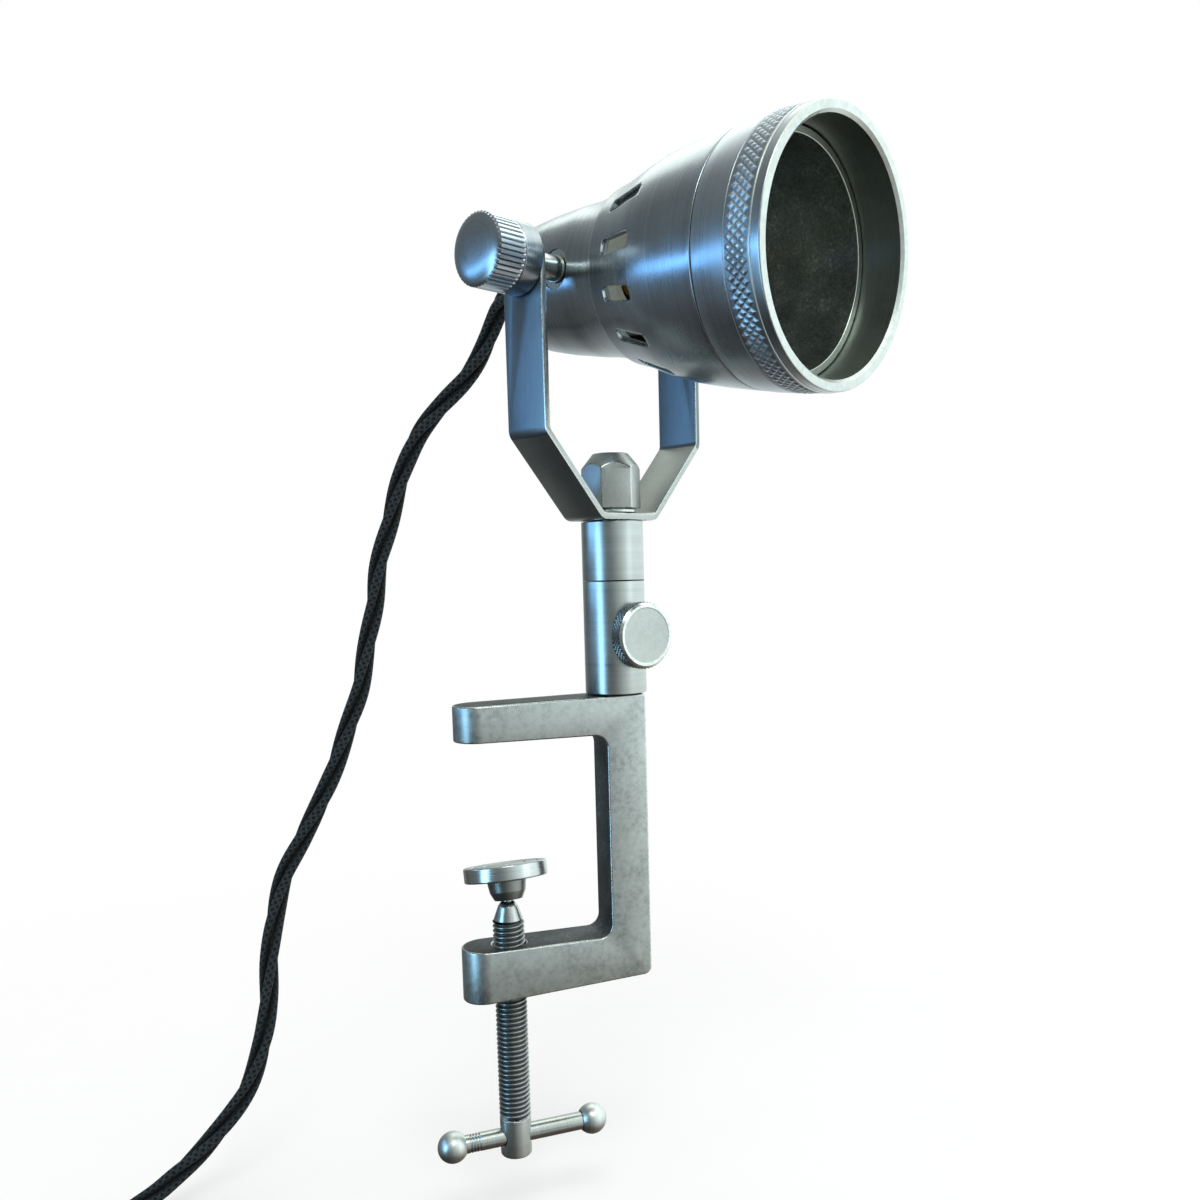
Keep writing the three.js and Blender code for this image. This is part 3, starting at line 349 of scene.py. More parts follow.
CORD_MID = (
    (-135, -85.4, -145), (-135, -93, -145.6), (-135, -100, -147.4), (-135, -106, -149.1),
    (-135, -111, -149.9), (-135, -116.8, -150.1),
)
CORD_TAIL = (
    (-76.4, -175.5, -142.5), (-64, -175.5, -142.7), (-48, -176, -145.8), (-31, -176.5, -149.6),
    (-12, -176.5, -150.6), (1, -175.7, -147.2), (11.5, -174.2, -142.3), (22, -174, -142),
)
COIL_CENTRE = (-83.5, -124)
COIL_LOW = -150.1
COIL_OUTER = 51.5
COIL_PITCH = 7.6
COIL_TURNS_PER_LAYER = 2.875
COIL_CLIMB = 0.5
COIL_LOOP_STEPS = 24
STRAND_RADIUS = 1.578
STRAND_OFFSET = 1.822
STRAND_SIDES = 9
CORD_RING_STEP = 2
CURVE_STEPS = 16
LEAST_GAP = 1e-6
LEAST_STEP = 1e-9
SLEEVE_SIDES = 28
SLEEVE_STEP = 0.4
SLEEVE_GROOVE = 0.45

# Tie round the coil
TIE_INNER = 26.2
TIE_OUTER = 52.1
TIE_LOW = -153.8
TIE_RISE = 15
TIE_WALL = 1.2
TIE_WIDTH = 8
TIE_CORNER = 2
TIE_INNER_CORNER = 0.8
TIE_FLAP_LENGTH = 12
TIE_FLAP_THICKNESS = 0.8
TIE_FLAP_CORNER = 0.3
TIE_FLAP_ASIDE = 3

# Switch and plug
SWITCH_PLACE = (-135, -55, -155)
SWITCH_LENGTH = 60
SWITCH_WIDTH = 28
SWITCH_HEIGHT = 20
SWITCH_HALF = 9.85
SWITCH_CORNER = 10
SWITCH_CORD_HEIGHT = -145
ROCKER_HEIGHT = 17.2
ROCKER_TILT = 7
ROCKER_WIDTH = 9
ROCKER_OUTLINE = (
    (-8.5, 3.4, 0.8), (-8.5, -1, 0.5), (0, -4.5, 2), (8.5, -1, 0.5), (8.5, 3.4, 0.8), (0, 1.9, 14),
)
POCKET_WIDTH = 9.6
POCKET_LENGTH = 19
POCKET_CORNER = 0.8
POCKET_DEPTH = 9
RECESS_WIDTH = 13
RECESS_LENGTH = 23
RECESS_CORNER = 2.4
RECESS_DEPTH = 0.5
RELIEF_START = 28.5
RELIEF_LENGTH = 22
PLUG_PLACE = (22.3, -174, -142)
PLUG_FACE = 56
PLUG_RADIUS = 13
PLUG_NECK = 4.2
PLUG_RIDGE = ((4.6, 0.8, EDGE), (4.7, 2.6, EDGE), (4, 2.8), (4.1, 4))
PLUG_RIDGE_COUNT = 6
PLUG_RIDGE_STEP = 3.4
PLUG_RIDGE_GROWTH = 0.28
PLUG_SHOULDER = ((6.2, 22, 0.8), (PLUG_RADIUS - 1.5, 23.2, 1.2), (PLUG_RADIUS, 26, 1.5))
PLUG_GRIP = (
    (PLUG_RADIUS, 34, SOFT_EDGE), (PLUG_RADIUS - 0.6, 34.6, EDGE),
    (PLUG_RADIUS - 0.6, 36, EDGE), (PLUG_RADIUS, 36.6, SOFT_EDGE),
)
PLUG_GRIP_COUNT = 4
PLUG_GRIP_STEP = 4.2
PLUG_SLOT_FLOOR = 50
PLUG_HOLE_FLOOR = 52
PLUG_BLADE_END = 73
PLUG_BLADE_START = 52.3
PLUG_PIN_END = 76
PLUG_PIN_RADIUS = 2.4
BLADE_ASIDE = 6.35
BLADE_NEAR = -0.15
BLADE_FAR = 6.15
BLADE_CORNER = 1.6
BLADE_THICKNESS = 1.5
BLADE_HOLE = 1.5
BLADE_HOLE_FROM_END = 5

# Waves a metre in the finishes
LATHE_FINE = 3000
LATHE_BROAD = 700
LATHE_CLOUDS = 70
MILL_GRAIN = 2600
MILL_MOTTLE = 620
MILL_STAINS = 260
MILL_CLOUDS = 90
SCALE_SPECKS = 1300
SCALE_CLOUDS = 120
BRUSH_HAIRS = 2600
BRUSH_CLOUDS = 60
EDGE_RUBS = 900
KNURL_GRAIN = 1800
CERAMIC_SPECKS = 2400
CERAMIC_CLOUDS = 160
GLASS_FROST = 1500
PLASTIC_GRAIN = 2200
PLASTIC_CLOUDS = 90
CLOTH_FUZZ = 3000
FLOOR_CLOUDS = 40
ROOM_CLOUDS = 2.2

# Brushing: the scale of the hairs along each of the piece's own axes
BRUSHED_UP = (1, 1, 0.04)
BRUSHED_ACROSS = (0.04, 1, 1)
BRUSHED_NUT = (1, 1, 0.2)

# Braid of the cord, and how dark the painted shade between its strands is
BRAID_LENGTH = 2.4
BRAID_COUNT = 4
VALLEY_PAINTED_SHADE = 0.15

# Colours of small pieces
# JOINT_SHADOW is a painted shadow for the gap where the post's two halves meet
JOINT_SHADOW = (0.05, 0.05, 0.05)
CERAMIC = (0.74, 0.77, 0.7)
FROSTED_WHITE = (0.9, 0.89, 0.86)
SHELL_BRASS = (0.62, 0.44, 0.18)
BLADE_BRASS = (0.66, 0.5, 0.24)
WHITE = (1, 1, 1, 1)

# Camera and stage
CAMERA_PLACE = (-68.94, -326.02, 48.29)
CAMERA_YAW = 17.965
CAMERA_PITCH = 5.592
CAMERA_ROLL = -1.473
CAMERA_LENS = 33.137
CAMERA_SHIFT = (-0.0133, 0.07)
FLOOR_LEVEL = -155.4
FLOOR_SIZE = 6000
FLOOR_FADE = (0.1, 0.6)
ROOM_RADIUS = 1400
ROOM_COLOURS = (
    (0.1, (0.09, 0.07, 0.06)), (0.37, (0.46, 0.48, 0.46)), (0.53, (0.5, 0.56, 0.57)),
    (0.78, (0.6, 0.66, 0.64)), (1, (1, 1, 0.95)),
)


def turn(axis, degrees):
    """A turn round one axis."""
    return Matrix.Rotation(math.radians(degrees), 4, axis)


def shift(across, along, up):
    """A shift by millimetres."""
    return Matrix.Translation(Vector((across, along, up)) * MM)


UPRIGHT = Matrix.Identity(4)
POST = shift(POST_OFFSET, 0, 0)
PAN = POST @ turn("Z", PAN_ANGLE)
HEAD = PAN @ shift(0, 0, YOKE_UNDER + TILT_RISE) @ turn("X", TILT_ANGLE)
ALONG_HEAD = HEAD @ turn("X", 90)
TOWARDS_KNOB = HEAD @ turn("Y", -90)
AWAY_FROM_KNOB = HEAD @ turn("Y", 90)
LOCK = shift(POST_OFFSET, 0, LOCK_HEIGHT) @ turn("Z", LOCK_ANGLE) @ turn("Y", 90)
PAD = shift(0, 0, -BALL_DROP) @ turn("Z", PAD_TURN) @ turn("X", -PAD_TILT)
TIP = shift(0, 0, -BALL_DROP)
CROSS_BAR = shift(0, 0, CROSS_HEIGHT) @ turn("Z", BAR_TURN) @ shift(BAR_SLIDE, 0, 0) @ turn("Y", 90)
SWITCH = shift(*SWITCH_PLACE)
PLUG = shift(*PLUG_PLACE) @ turn("Y", 90)
EARTH_ASIDE = shift(-8, 0, 0)


# Modelling


def nothing_selected():
    """Leaves edit mode and selects nothing."""
    if bpy.context.object and bpy.context.object.mode != "OBJECT":
        bpy.ops.object.mode_set(mode="OBJECT")
    bpy.ops.object.select_all(action="DESELECT")


def only(obj):
    """Selects one object alone and makes it active."""
    nothing_selected()
    obj.select_set(True)
    bpy.context.view_layer.objects.active = obj
    return obj


def eased(corners, closed=False, steps=ARC_STEPS):
    """Places through (across, up) or (across, up, ease) corners, each rounded by its ease."""
    places = []
    for i, (across, up, *ease) in enumerate(corners):
        here = Vector((across, up))
        is_end = not closed and i in (0, len(corners) - 1)
        if is_end or not ease:
            places.append(here)
            continue
        before = (here - Vector(corners[i - 1][:2])).normalized()
        after = (Vector(corners[(i + 1) % len(corners)][:2]) - here).normalized()
        angle = math.atan2(before.x * after.y - before.y * after.x, before.dot(after))
        start = here - before * ease[0] * math.tan(abs(angle) / 2)
        centre = start + Vector((-before.y, before.x)) * math.copysign(ease[0], angle)
        arc = (Matrix.Rotation(angle * k / steps, 2) @ (start - centre) for k in range(steps + 1))
        places.extend(centre + point for point in arc)
    return places


def chain(places):
    """Starts a mesh as one point and extrudes it along the places, in the XZ plane."""
    nothing_selected()
    bpy.ops.mesh.primitive_plane_add(size=MM, location=(0, 0, 0))
    bpy.ops.object.mode_set(mode="EDIT")
    bpy.ops.mesh.select_all(action="SELECT")
    bpy.ops.mesh.merge(type="CENTER")
    points = [Vector((place[0], 0, place[1])) * MM for place in places]
    bpy.ops.transform.translate(value=points[0])
    for last, point in zip(points, points[1:], strict=False):
        bpy.ops.mesh.extrude_vertices_move(TRANSFORM_OT_translate={"value": point - last})
    bpy.ops.mesh.select_all(action="SELECT")


def thickened(thickness):
    """Extrudes what is selected along Y, to both sides of its plane."""
    bpy.ops.transform.translate(value=(0, -thickness * MM / 2, 0))
    bpy.ops.mesh.extrude_region_move(TRANSFORM_OT_translate={"value": (0, thickness * MM, 0)})


def closed_up():
    """Merges what lies together, turns the faces outward and leaves edit mode."""
    bpy.ops.mesh.select_all(action="SELECT")
    bpy.ops.mesh.remove_doubles(threshold=MERGE_DISTANCE * MM)
    bpy.ops.mesh.normals_make_consistent(inside=False)
    bpy.ops.object.mode_set(mode="OBJECT")
    return bpy.context.object


def turned(corners, sides=FINE_SIDES, ring=False, steps=ARC_STEPS):
    """A body turned round Z from (radius, height, ease) corners that end on the axis, or close in a ring."""
    places = eased(corners, closed=ring, steps=steps)
    chain([*places, places[0]] if ring else places)
    bpy.ops.mesh.spin(steps=sides, angle=2 * math.pi, center=(0, 0, 0), axis=(0, 0, 1))
    return closed_up()


def fair(places, spacing=FAIR_SPACING):
    """Evenly spaced places on a smooth curve through the places."""
    line, _ = smooth_line([Vector((across, 0, up)) for across, up in places], spacing)
    return [(point.x, point.z) for point in line]


def ball_places(radius, start, end, steps=16):
    """Places on a circle round the middle, by angle in degrees from straight down."""
    angles = (math.radians(start + (end - start) * i / steps) for i in range(steps + 1))
    return [(radius * math.sin(angle), -radius * math.cos(angle)) for angle in angles]


def plate(corners, thickness, steps=ARC_STEPS):
    """A plate with its outline in the XZ plane and its thickness centred on Y."""
    places = eased(corners, closed=True, steps=steps)
    chain([*places, places[0]])
    bpy.ops.mesh.remove_doubles(threshold=MERGE_DISTANCE * MM)
    bpy.ops.mesh.edge_face_add()
    thickened(thickness)
    return closed_up()


def box(width, height, ease, thickness, steps=ARC_STEPS):
    """A plate with a rounded rectangle for its outline."""
    across, up = width / 2, height / 2
    corners = ((-across, -up, ease), (across, -up, ease), (across, up, ease), (-across, up, ease))
    return plate(corners, thickness, steps)


def rod(radius, low, high, sides=SMALL_SIDES):
    """A round cutter along Z."""
    nothing_selected()
    depth, middle = (high - low) * MM, (0, 0, (low + high) / 2 * MM)
    bpy.ops.mesh.primitive_cylinder_add(radius=radius * MM, depth=depth, vertices=sides, location=middle)
    bpy.ops.object.transform_apply(location=True, rotation=True, scale=True)
    return bpy.context.object


def moved(obj, matrix):
    """Moves the mesh itself, so that the object stays at the origin."""
    only(obj)
    obj.matrix_world = matrix @ obj.matrix_world
    bpy.ops.object.transform_apply(location=True, rotation=True, scale=True)
    return obj


def combined(obj, tool, operation):
    """Cuts, joins or keeps a body by a tool, and throws the tool away."""
    only(obj)
    bpy.ops.object.modifier_add(type="BOOLEAN")
    change = obj.modifiers[-1]
    change.object, change.operation, change.solver = tool, operation, "EXACT"
    bpy.ops.object.modifier_apply(modifier=change.name)
    only(tool)
    bpy.ops.object.delete()
    return only(obj)


def cut(obj, tool, place=UPRIGHT):
    """Takes a tool, moved to its place, from a body."""
    return combined(obj, moved(tool, place), "DIFFERENCE")


def bevelled(obj, width, segments=2, angle=40, finish=-1):
    """Rounds the edges sharper than an angle, and may give the rounds a finish of their own."""
    only(obj)
    bpy.ops.object.modifier_add(type="BEVEL")
    change = obj.modifiers[-1]
    change.width, change.segments, change.material = width * MM, segments, finish
    change.limit_method, change.angle_limit = "ANGLE", math.radians(angle)
    change.use_clamp_overlap = False
    bpy.ops.object.modifier_apply(modifier=change.name)
    return obj


def copied(obj, matrix):
    """A copy with its own mesh, moved."""
    only(obj)
    bpy.ops.object.duplicate(linked=False)
    return moved(bpy.context.object, matrix)


def merged(objs):
    """Joins several objects in one mesh."""
    nothing_selected()
    for obj in objs:
        obj.select_set(True)
    bpy.context.view_layer.objects.active = objs[0]
    bpy.ops.object.join()
    return bpy.context.object


def meshed(name, verts, faces):
    """An object from vertices in metres and faces."""
    mesh = bpy.data.meshes.new(name)
    mesh.from_pydata(verts, [], faces)
    obj = bpy.data.objects.new(name, mesh)
    bpy.context.collection.objects.link(obj)
    return only(obj)


def round_of(middle, side, up, radius, count):
    """Vertices in metres on a circle round a middle in millimetres."""
    angles = (2 * math.pi * k / count for k in range(count))
    return [(middle + (side * math.cos(angle) + up * math.sin(angle)) * radius) * MM for angle in angles]


def painted(obj, finish, test):
    """Gives a finish, by its place in the list, to the faces whose middle and normal pass the test."""
    for face in obj.data.polygons:
        if test(face.center / MM, face.normal):
            face.material_index = finish
    return obj


def picked(obj, test, kind="VERT"):
    """Selects, in edit mode, the vertices or faces whose place in millimetres passes the test."""
    only(obj)
    for item in (*obj.data.vertices, *obj.data.edges, *obj.data.polygons):
        item.select = False
    for item in obj.data.vertices if kind == "VERT" else obj.data.polygons:
        item.select = test((item.co if kind == "VERT" else item.center) / MM)
    bpy.context.tool_settings.mesh_select_mode = (kind == "VERT", False, kind == "FACE")
    bpy.ops.object.mode_set(mode="EDIT")


def reach_of(place):
    """Distance from the axis."""
    return math.hypot(place.x, place.y)


def scaled_round(grow):
    """Scales what is selected away from the axis, and leaves edit mode."""
    bpy.ops.transform.resize(value=(grow, grow, 1), center_override=(0, 0, 0))
    bpy.ops.object.mode_set(mode="OBJECT")


def repeated(outline, count, step=0, growth=0):
    """Outline corners repeated, each time further up by a step and further out by a growth."""
    return [
        (across + growth * i, up + step * i, *ease) for i in range(count) for across, up, *ease in outline
    ]


def band(radius, low, high, rows):
    """Evenly spaced outline places for a knurled band."""
    return [(radius, low + (high - low) * i / rows) for i in range(rows + 1)]


def knurled(obj, radius, low, high, columns, rows, height, blunt):
    """Raises blunt diamonds from the faces of a turned band."""
    row_height = (high - low) / rows
    column = math.pi / columns
    near = row_height / 4

    def is_tip(place):
        if abs(reach_of(place) - radius) > near or not low + near < place.z < high - near:
            return False
        return (round(math.atan2(place.y, place.x) / column) + round((place.z - low) / row_height)) % 2 == 1

    picked(obj, is_tip)
    scaled_round((radius + height) / radius)
    picked(obj, lambda place: low < place.z < high and reach_of(place) > radius - near, "FACE")
    bpy.ops.mesh.quads_convert_to_tris(quad_method="SHORTEST_DIAGONAL", ngon_method="BEAUTY")
    bpy.ops.object.mode_set(mode="OBJECT")
    picked(obj, lambda place: reach_of(place) > radius + height / 2 and low < place.z < high)
    bpy.ops.mesh.bevel(affect="VERTICES", offset=blunt * MM, offset_type="OFFSET", segments=1)
    bpy.ops.object.mode_set(mode="OBJECT")
    return obj


def hexagon(across, low, high, angle=0):
    """A hexagonal prism along Z."""
    reach = across / math.sqrt(3)
    angles = (math.radians(angle + 60 * i) for i in range(6))
    corners = [(reach * math.cos(at), reach * math.sin(at)) for at in angles]
    return moved(plate(corners, high - low), shift(0, 0, (low + high) / 2) @ turn("X", -90))


def cap_nut(across, bottom, shoulder, top, top_radius, bore, bore_end, angle):
    """A hexagon nut whose corners run out in a cone towards its round top, with a blind bore."""
    corner = across / math.sqrt(3)
    run = (top - shoulder) / (corner - top_radius)
    wide, under = corner + CUT_OVERRUN, bottom - CUT_OVERRUN
    cone = turned((
        (0, under), (corner - NUT_FOOT_IN, under), (wide, bottom + NUT_FOOT_RISE),
        (wide, shoulder - CUT_OVERRUN * run), (top_radius, top, NUT_TOP_EASE), (0, top),
    ))
    body = combined(hexagon(across, bottom, top + CUT_OVERRUN, angle), cone, "INTERSECT")
    return cut(body, rod(bore, under, bore_end))


def finished(obj, *finishes):
    """Gives a piece its finishes."""
    for finish in finishes:
        obj.data.materials.append(finish)
    return obj


def inward(place, normal):
    """Whether a face of a turned piece looks at the axis."""
    return place.x * normal.x + place.y * normal.y < -0.1 * reach_of(place)


def smoothed(obj, name, angle=SMOOTH_ANGLE):
    """Names a finished piece and shades it."""
    obj.name = obj.data.name = name
    bpy.ops.object.shade_smooth_by_angle(angle=math.radians(angle))


def settled(obj, name, node, place=UPRIGHT, angle=SMOOTH_ANGLE):
    """Puts a finished piece in place, names and shades it, and fits it to its node of the frame."""
    moved(obj, place)
    smoothed(obj, name, angle)
    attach(obj, frame["nodes"][node]["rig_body"])
    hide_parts(node)


# Finishes


def add(finish, kind, sockets=None, **settings):
    """Adds a node. Its sockets take numbers or the outputs of other nodes."""
    made = finish.node_tree.nodes.new("ShaderNode" + kind)
    for name, value in settings.items():
        setattr(made, name, value)
    for name, value in (sockets or {}).items():
        if isinstance(value, bpy.types.NodeSocket):
            finish.node_tree.links.new(value, made.inputs[name])
        else:
            made.inputs[name].default_value = value
    return made


def maths(finish, operation, *values):
    """A math node on numbers or outputs."""
    return add(finish, "Math", dict(enumerate(values)), operation=operation).outputs[0]


def summed(finish, *parts):
    """The sum of parts. Each is a number, an output, or an output with its weight."""
    values = [maths(finish, "MULTIPLY", *part) if isinstance(part, tuple) else part for part in parts]
    total = values[0]
    for value in values[1:]:
        total = maths(finish, "ADD", total, value)
    return total


def ranged(finish, value, low, high, least=0.0, most=1.0, kind="LINEAR"):
    """How far a value lies between low and high, as a number from least to most."""
    sockets = {"Value": value, "From Min": low, "From Max": high, "To Min": least, "To Max": most}
    return add(finish, "MapRange", sockets, interpolation_type=kind).outputs["Result"]


def ramp(finish, factor, *stops):
    """A colour ramp of (place, colour) stops."""
    made = add(finish, "ValToRGB", {"Fac": factor})
    elements = made.color_ramp.elements
    while len(elements) < len(stops):
        elements.new(0.5)
    for element, (place, colour) in zip(elements, stops, strict=True):
        element.position, element.color = place, (*colour, 1)
    return made.outputs["Color"]


def shade(colour, times):
    """A lighter or darker version of a colour."""
    return tuple(min(1, part * times) for part in colour)


def toned(finish, factor, colour, *stops):
    """A colour ramp of one colour's shades, by (place, times) stops."""
    return ramp(finish, factor, *((place, shade(colour, times)) for place, times in stops))


def new_finish(name, **sockets):
    """A material with its shader's own numbers set."""
    finish = bpy.data.materials.new(name)
    finish.use_nodes = True
    shader = finish.node_tree.nodes["Principled BSDF"]
    for socket, value in sockets.items():
        shader.inputs[socket.replace("_", " ")].default_value = value
    return finish, shader


def to_shader(finish, shader, colour, roughness=None, height=None, strength=0.2, distance=0.05):
    """Links colour, roughness and bump to the shader."""
    finish.node_tree.links.new(colour, shader.inputs["Base Color"])
    if roughness:
        finish.node_tree.links.new(roughness, shader.inputs["Roughness"])
    if height:
        bump = add(finish, "Bump", {"Height": height, "Strength": strength, "Distance": distance * MM})
        finish.node_tree.links.new(bump.outputs["Normal"], shader.inputs["Normal"])
    return finish


def to_surface(finish, output):
    """Makes an output the material's surface."""
    finish.node_tree.links.new(output, finish.node_tree.nodes["Material Output"].inputs["Surface"])


def own_place(finish, place=UPRIGHT):
    """Object coordinates in a piece's own frame."""
    seen = add(finish, "TexCoord").outputs["Object"]
    sockets = {"Vector": seen, "Location": place.to_translation(), "Rotation": place.to_euler()}
    return add(finish, "Mapping", sockets, vector_type="TEXTURE").outputs["Vector"]


def round_the_axis(finish, place):
    """A turned piece's own coordinates, its distance and height as coordinates, and the distance alone."""
    own = own_place(finish, place)
    parts = add(finish, "SeparateXYZ", {"Vector": own}).outputs
    flat = add(finish, "CombineXYZ", {"X": parts["X"], "Y": parts["Y"]}).outputs[0]
    radius = add(finish, "VectorMath", {0: flat}, operation="LENGTH").outputs["Value"]
    rings = add(finish, "CombineXYZ", {"X": radius, "Z": parts["Z"]}).outputs[0]
    return own, rings, radius


def noise(finish, vector, scale, detail=2.0, roughness=0.5, distortion=0.0):
    """A noise value. The scale is in waves a metre."""
    sockets = {"Vector": vector, "Scale": scale, "Detail": detail, "Roughness": roughness}
    return add(finish, "TexNoise", {**sockets, "Distortion": distortion}).outputs["Fac"]


def turned_steel(name, place, colour, roughness=0.3, lines=0.05, patches=0.1):
    """Steel from the lathe: fine rings round the axis, with cloudy patches over them."""
    finish, shader = new_finish(name, Metallic=1)
    own, rings, _ = round_the_axis(finish, place)
    fine = noise(finish, rings, LATHE_FINE, 2, 0.6)
    broad = noise(finish, rings, LATHE_BROAD)
    cloud = maths(finish, "SUBTRACT", noise(finish, own, LATHE_CLOUDS, 3, 0.6), 0.5)
    tone = summed(finish, (fine, 0.55), (broad, 0.45))
    mixed = summed(finish, tone, (cloud, patches * 4))
    paint = toned(finish, mixed, colour, (0.3, 0.86), (0.52, 1), (0.75, 1.12))
    rough = summed(finish, (fine, 0.14), roughness - 0.07, (cloud, 0.18))
    return to_shader(finish, shader, paint, rough, tone, lines, 0.06)


def milled_steel(name, colour, dark, roughness=0.42):
    """Satin milled steel: mottled clouds down to a darker shade, a fine grain, and a few stains."""
    finish, shader = new_finish(name, Metallic=1)
    own = own_place(finish)
    cloud = noise(finish, own, MILL_CLOUDS, 3, 0.55)
    mottle = noise(finish, own, MILL_MOTTLE, 4, 0.6)
    grain = noise(finish, own, MILL_GRAIN, 3, 0.7)
    stain = noise(finish, own, MILL_STAINS, 6, 0.75, 0.4)
    tone = summed(finish, (cloud, 0.3), (mottle, 0.45), (grain, 0.25))
    paint = toned(finish, tone, colour, (0.33, dark), (0.5, 1), (0.66, 1.2))
    stained = (*shade(colour, dark * 0.6), 1)
    sockets = {"Factor": ranged(finish, stain, 0.66, 0.76, most=0.35), "A": paint, "B": stained}
    paint = add(finish, "Mix", sockets, data_type="RGBA").outputs["Result"]
    return to_shader(finish, shader, paint, summed(finish, (mottle, 0.24), roughness - 0.12), tone, 0.12, 0.1)


def scaled_steel(name, colour, roughness=0.6):
    """Dark unmachined steel with specks."""
    finish, shader = new_finish(name, Metallic=1)
    own = own_place(finish)
    specks = noise(finish, own, SCALE_SPECKS, 6, 0.75)
    tone = summed(finish, (specks, 0.7), (noise(finish, own, SCALE_CLOUDS, 3), 0.3))
    paint = toned(finish, tone, colour, (0.4, 0.5), (0.56, 1), (0.66, 2.2))
    rough = summed(finish, (specks, 0.3), roughness - 0.15)
    return to_shader(finish, shader, paint, rough, specks, 0.5, 0.12)


def brushed_steel(name, place, colour, stretch, roughness=0.34):
    """Sheet steel brushed one way. Stretch gives the noise's scale along each of the piece's own axes."""
    finish, shader = new_finish(name, Metallic=1)
    own = own_place(finish, place)
    drawn = add(finish, "Mapping", {"Vector": own, "Scale": stretch}).outputs[0]
    hairs = noise(finish, drawn, BRUSH_HAIRS, 4, 0.65)
    tone = summed(finish, (hairs, 0.6), (noise(finish, own, BRUSH_CLOUDS, 3, 0.6), 0.4))
    paint = toned(finish, tone, colour, (0.32, 0.8), (0.5, 1), (0.7, 1.22))
    return to_shader(finish, shader, paint, summed(finish, (hairs, 0.2), roughness - 0.1), hairs, 0.16, 0.06)


def worn_steel_painted_highlight(name, colour, roughness=0.28):
    """Bright edges: partly rubbed by hands, partly a painted highlight where they catch the light."""
    finish, shader = new_finish(name, Metallic=1)
    rub = noise(finish, own_place(finish), EDGE_RUBS, 3, 0.6)
    paint = toned(finish, rub, colour, (0.3, 0.7), (0.6, 1), (0.8, 1.2))
    return to_shader(finish, shader, paint, summed(finish, (rub, 0.2), roughness - 0.1), rub, 0.1, 0.05)


def knurl_steel(name, place, colour, root, tip):
    """Knurled steel: darker in the valleys and brighter at the tips, by distance from the axis."""
    finish, shader = new_finish(name, Metallic=1)
    own, _, radius = round_the_axis(finish, place)
    grain = noise(finish, own, KNURL_GRAIN, 3)
    height = ranged(finish, radius, root * MM, tip * MM)
    tone = summed(finish, (height, 0.8), (grain, 0.2))
    paint = toned(finish, tone, colour, (0.12, 0.3), (0.45, 0.8), (0.85, 1.3))
    return to_shader(finish, shader, paint, summed(finish, (height, -0.2), 0.5), grain, 0.1, 0.05)


def fired_ceramic(name, colour):
    """Pale glazed ceramic, a little uneven."""
    finish, shader = new_finish(name, Coat_Weight=0.3, Coat_Roughness=0.15)
    own = own_place(finish)
    cloud = noise(finish, own, CERAMIC_CLOUDS, 4)
    tone = summed(finish, (cloud, 0.7), (noise(finish, own, CERAMIC_SPECKS), 0.3))
    paint = toned(finish, tone, colour, (0.35, 0.9), (0.6, 1))
    return to_shader(finish, shader, paint, summed(finish, (cloud, 0.2), 0.35), cloud, 0.1, 0.1)


def frosted_glass(name, colour):
    """Bulb glass, white inside and soft outside."""
    finish, shader = new_finish(name, Coat_Weight=0.5, Coat_Roughness=0.12, Subsurface_Weight=0.2)
    shader.inputs["Subsurface Radius"].default_value = (0.002, 0.002, 0.002)
    frost = noise(finish, own_place(finish), GLASS_FROST, 3)
    paint = toned(finish, frost, colour, (0.3, 0.94), (0.7, 1))
    return to_shader(finish, shader, paint, summed(finish, (frost, 0.15), 0.3), frost, 0.05, 0.05)


def moulded_plastic(name, roughness=0.42, lighter=1):
    """Black moulded plastic with a fine spark-eroded grain."""
    finish, shader = new_finish(name)
    own = own_place(finish)
    grain = noise(finish, own, PLASTIC_GRAIN, 4, 0.6)
    colour = shade(colour_of("plastic"), lighter)
    paint = toned(finish, noise(finish, own, PLASTIC_CLOUDS, 3), colour, (0.3, 0.85), (0.7, 1.25))
    rough = summed(finish, (grain, 0.22), roughness - 0.11)
    return to_shader(finish, shader, paint, rough, grain, 0.22, 0.06)


def braided_cloth(name, colour):
    """Braided sleeve, with painted shade between the strands. Its map is millimetres along, and turns from
    outward.
    """
    finish, shader = new_finish(name, Specular_IOR_Level=0.2, Sheen_Weight=0.05, Sheen_Roughness=0.5)
    lie = add(finish, "UVMap", uv_map="sleeve").outputs[0]
    parts = add(finish, "SeparateXYZ", {"Vector": lie}).outputs
    along = maths(finish, "MULTIPLY", parts["X"], 2 * math.pi / BRAID_LENGTH)
    around = maths(finish, "MULTIPLY", parts["Y"], 2 * math.pi * BRAID_COUNT)
    ways = (maths(finish, "SINE", maths(finish, kind, along, around)) for kind in ("ADD", "SUBTRACT"))
    over = maths(finish, "MAXIMUM", *ways)
    fuzz = noise(finish, own_place(finish), CLOTH_FUZZ, 3)
    # Painted shade: each strand is darkened on the side that turns in towards the cord's middle
    outward = maths(finish, "COSINE", maths(finish, "MULTIPLY", parts["Y"], 2 * math.pi))
    painted_valley_shade = ranged(finish, outward, -0.6, 0.6, least=VALLEY_PAINTED_SHADE, kind="SMOOTHSTEP")
    tone = maths(finish, "MULTIPLY", summed(finish, (over, 0.3), (fuzz, 0.6)), painted_valley_shade)
    paint = toned(finish, tone, colour, (0.1, 0.3), (0.4, 1), (0.75, 4.4))
    return to_shader(finish, shader, paint, summed(finish, (fuzz, 0.2), 0.66), over, 0.6, 0.2)


# Cord line


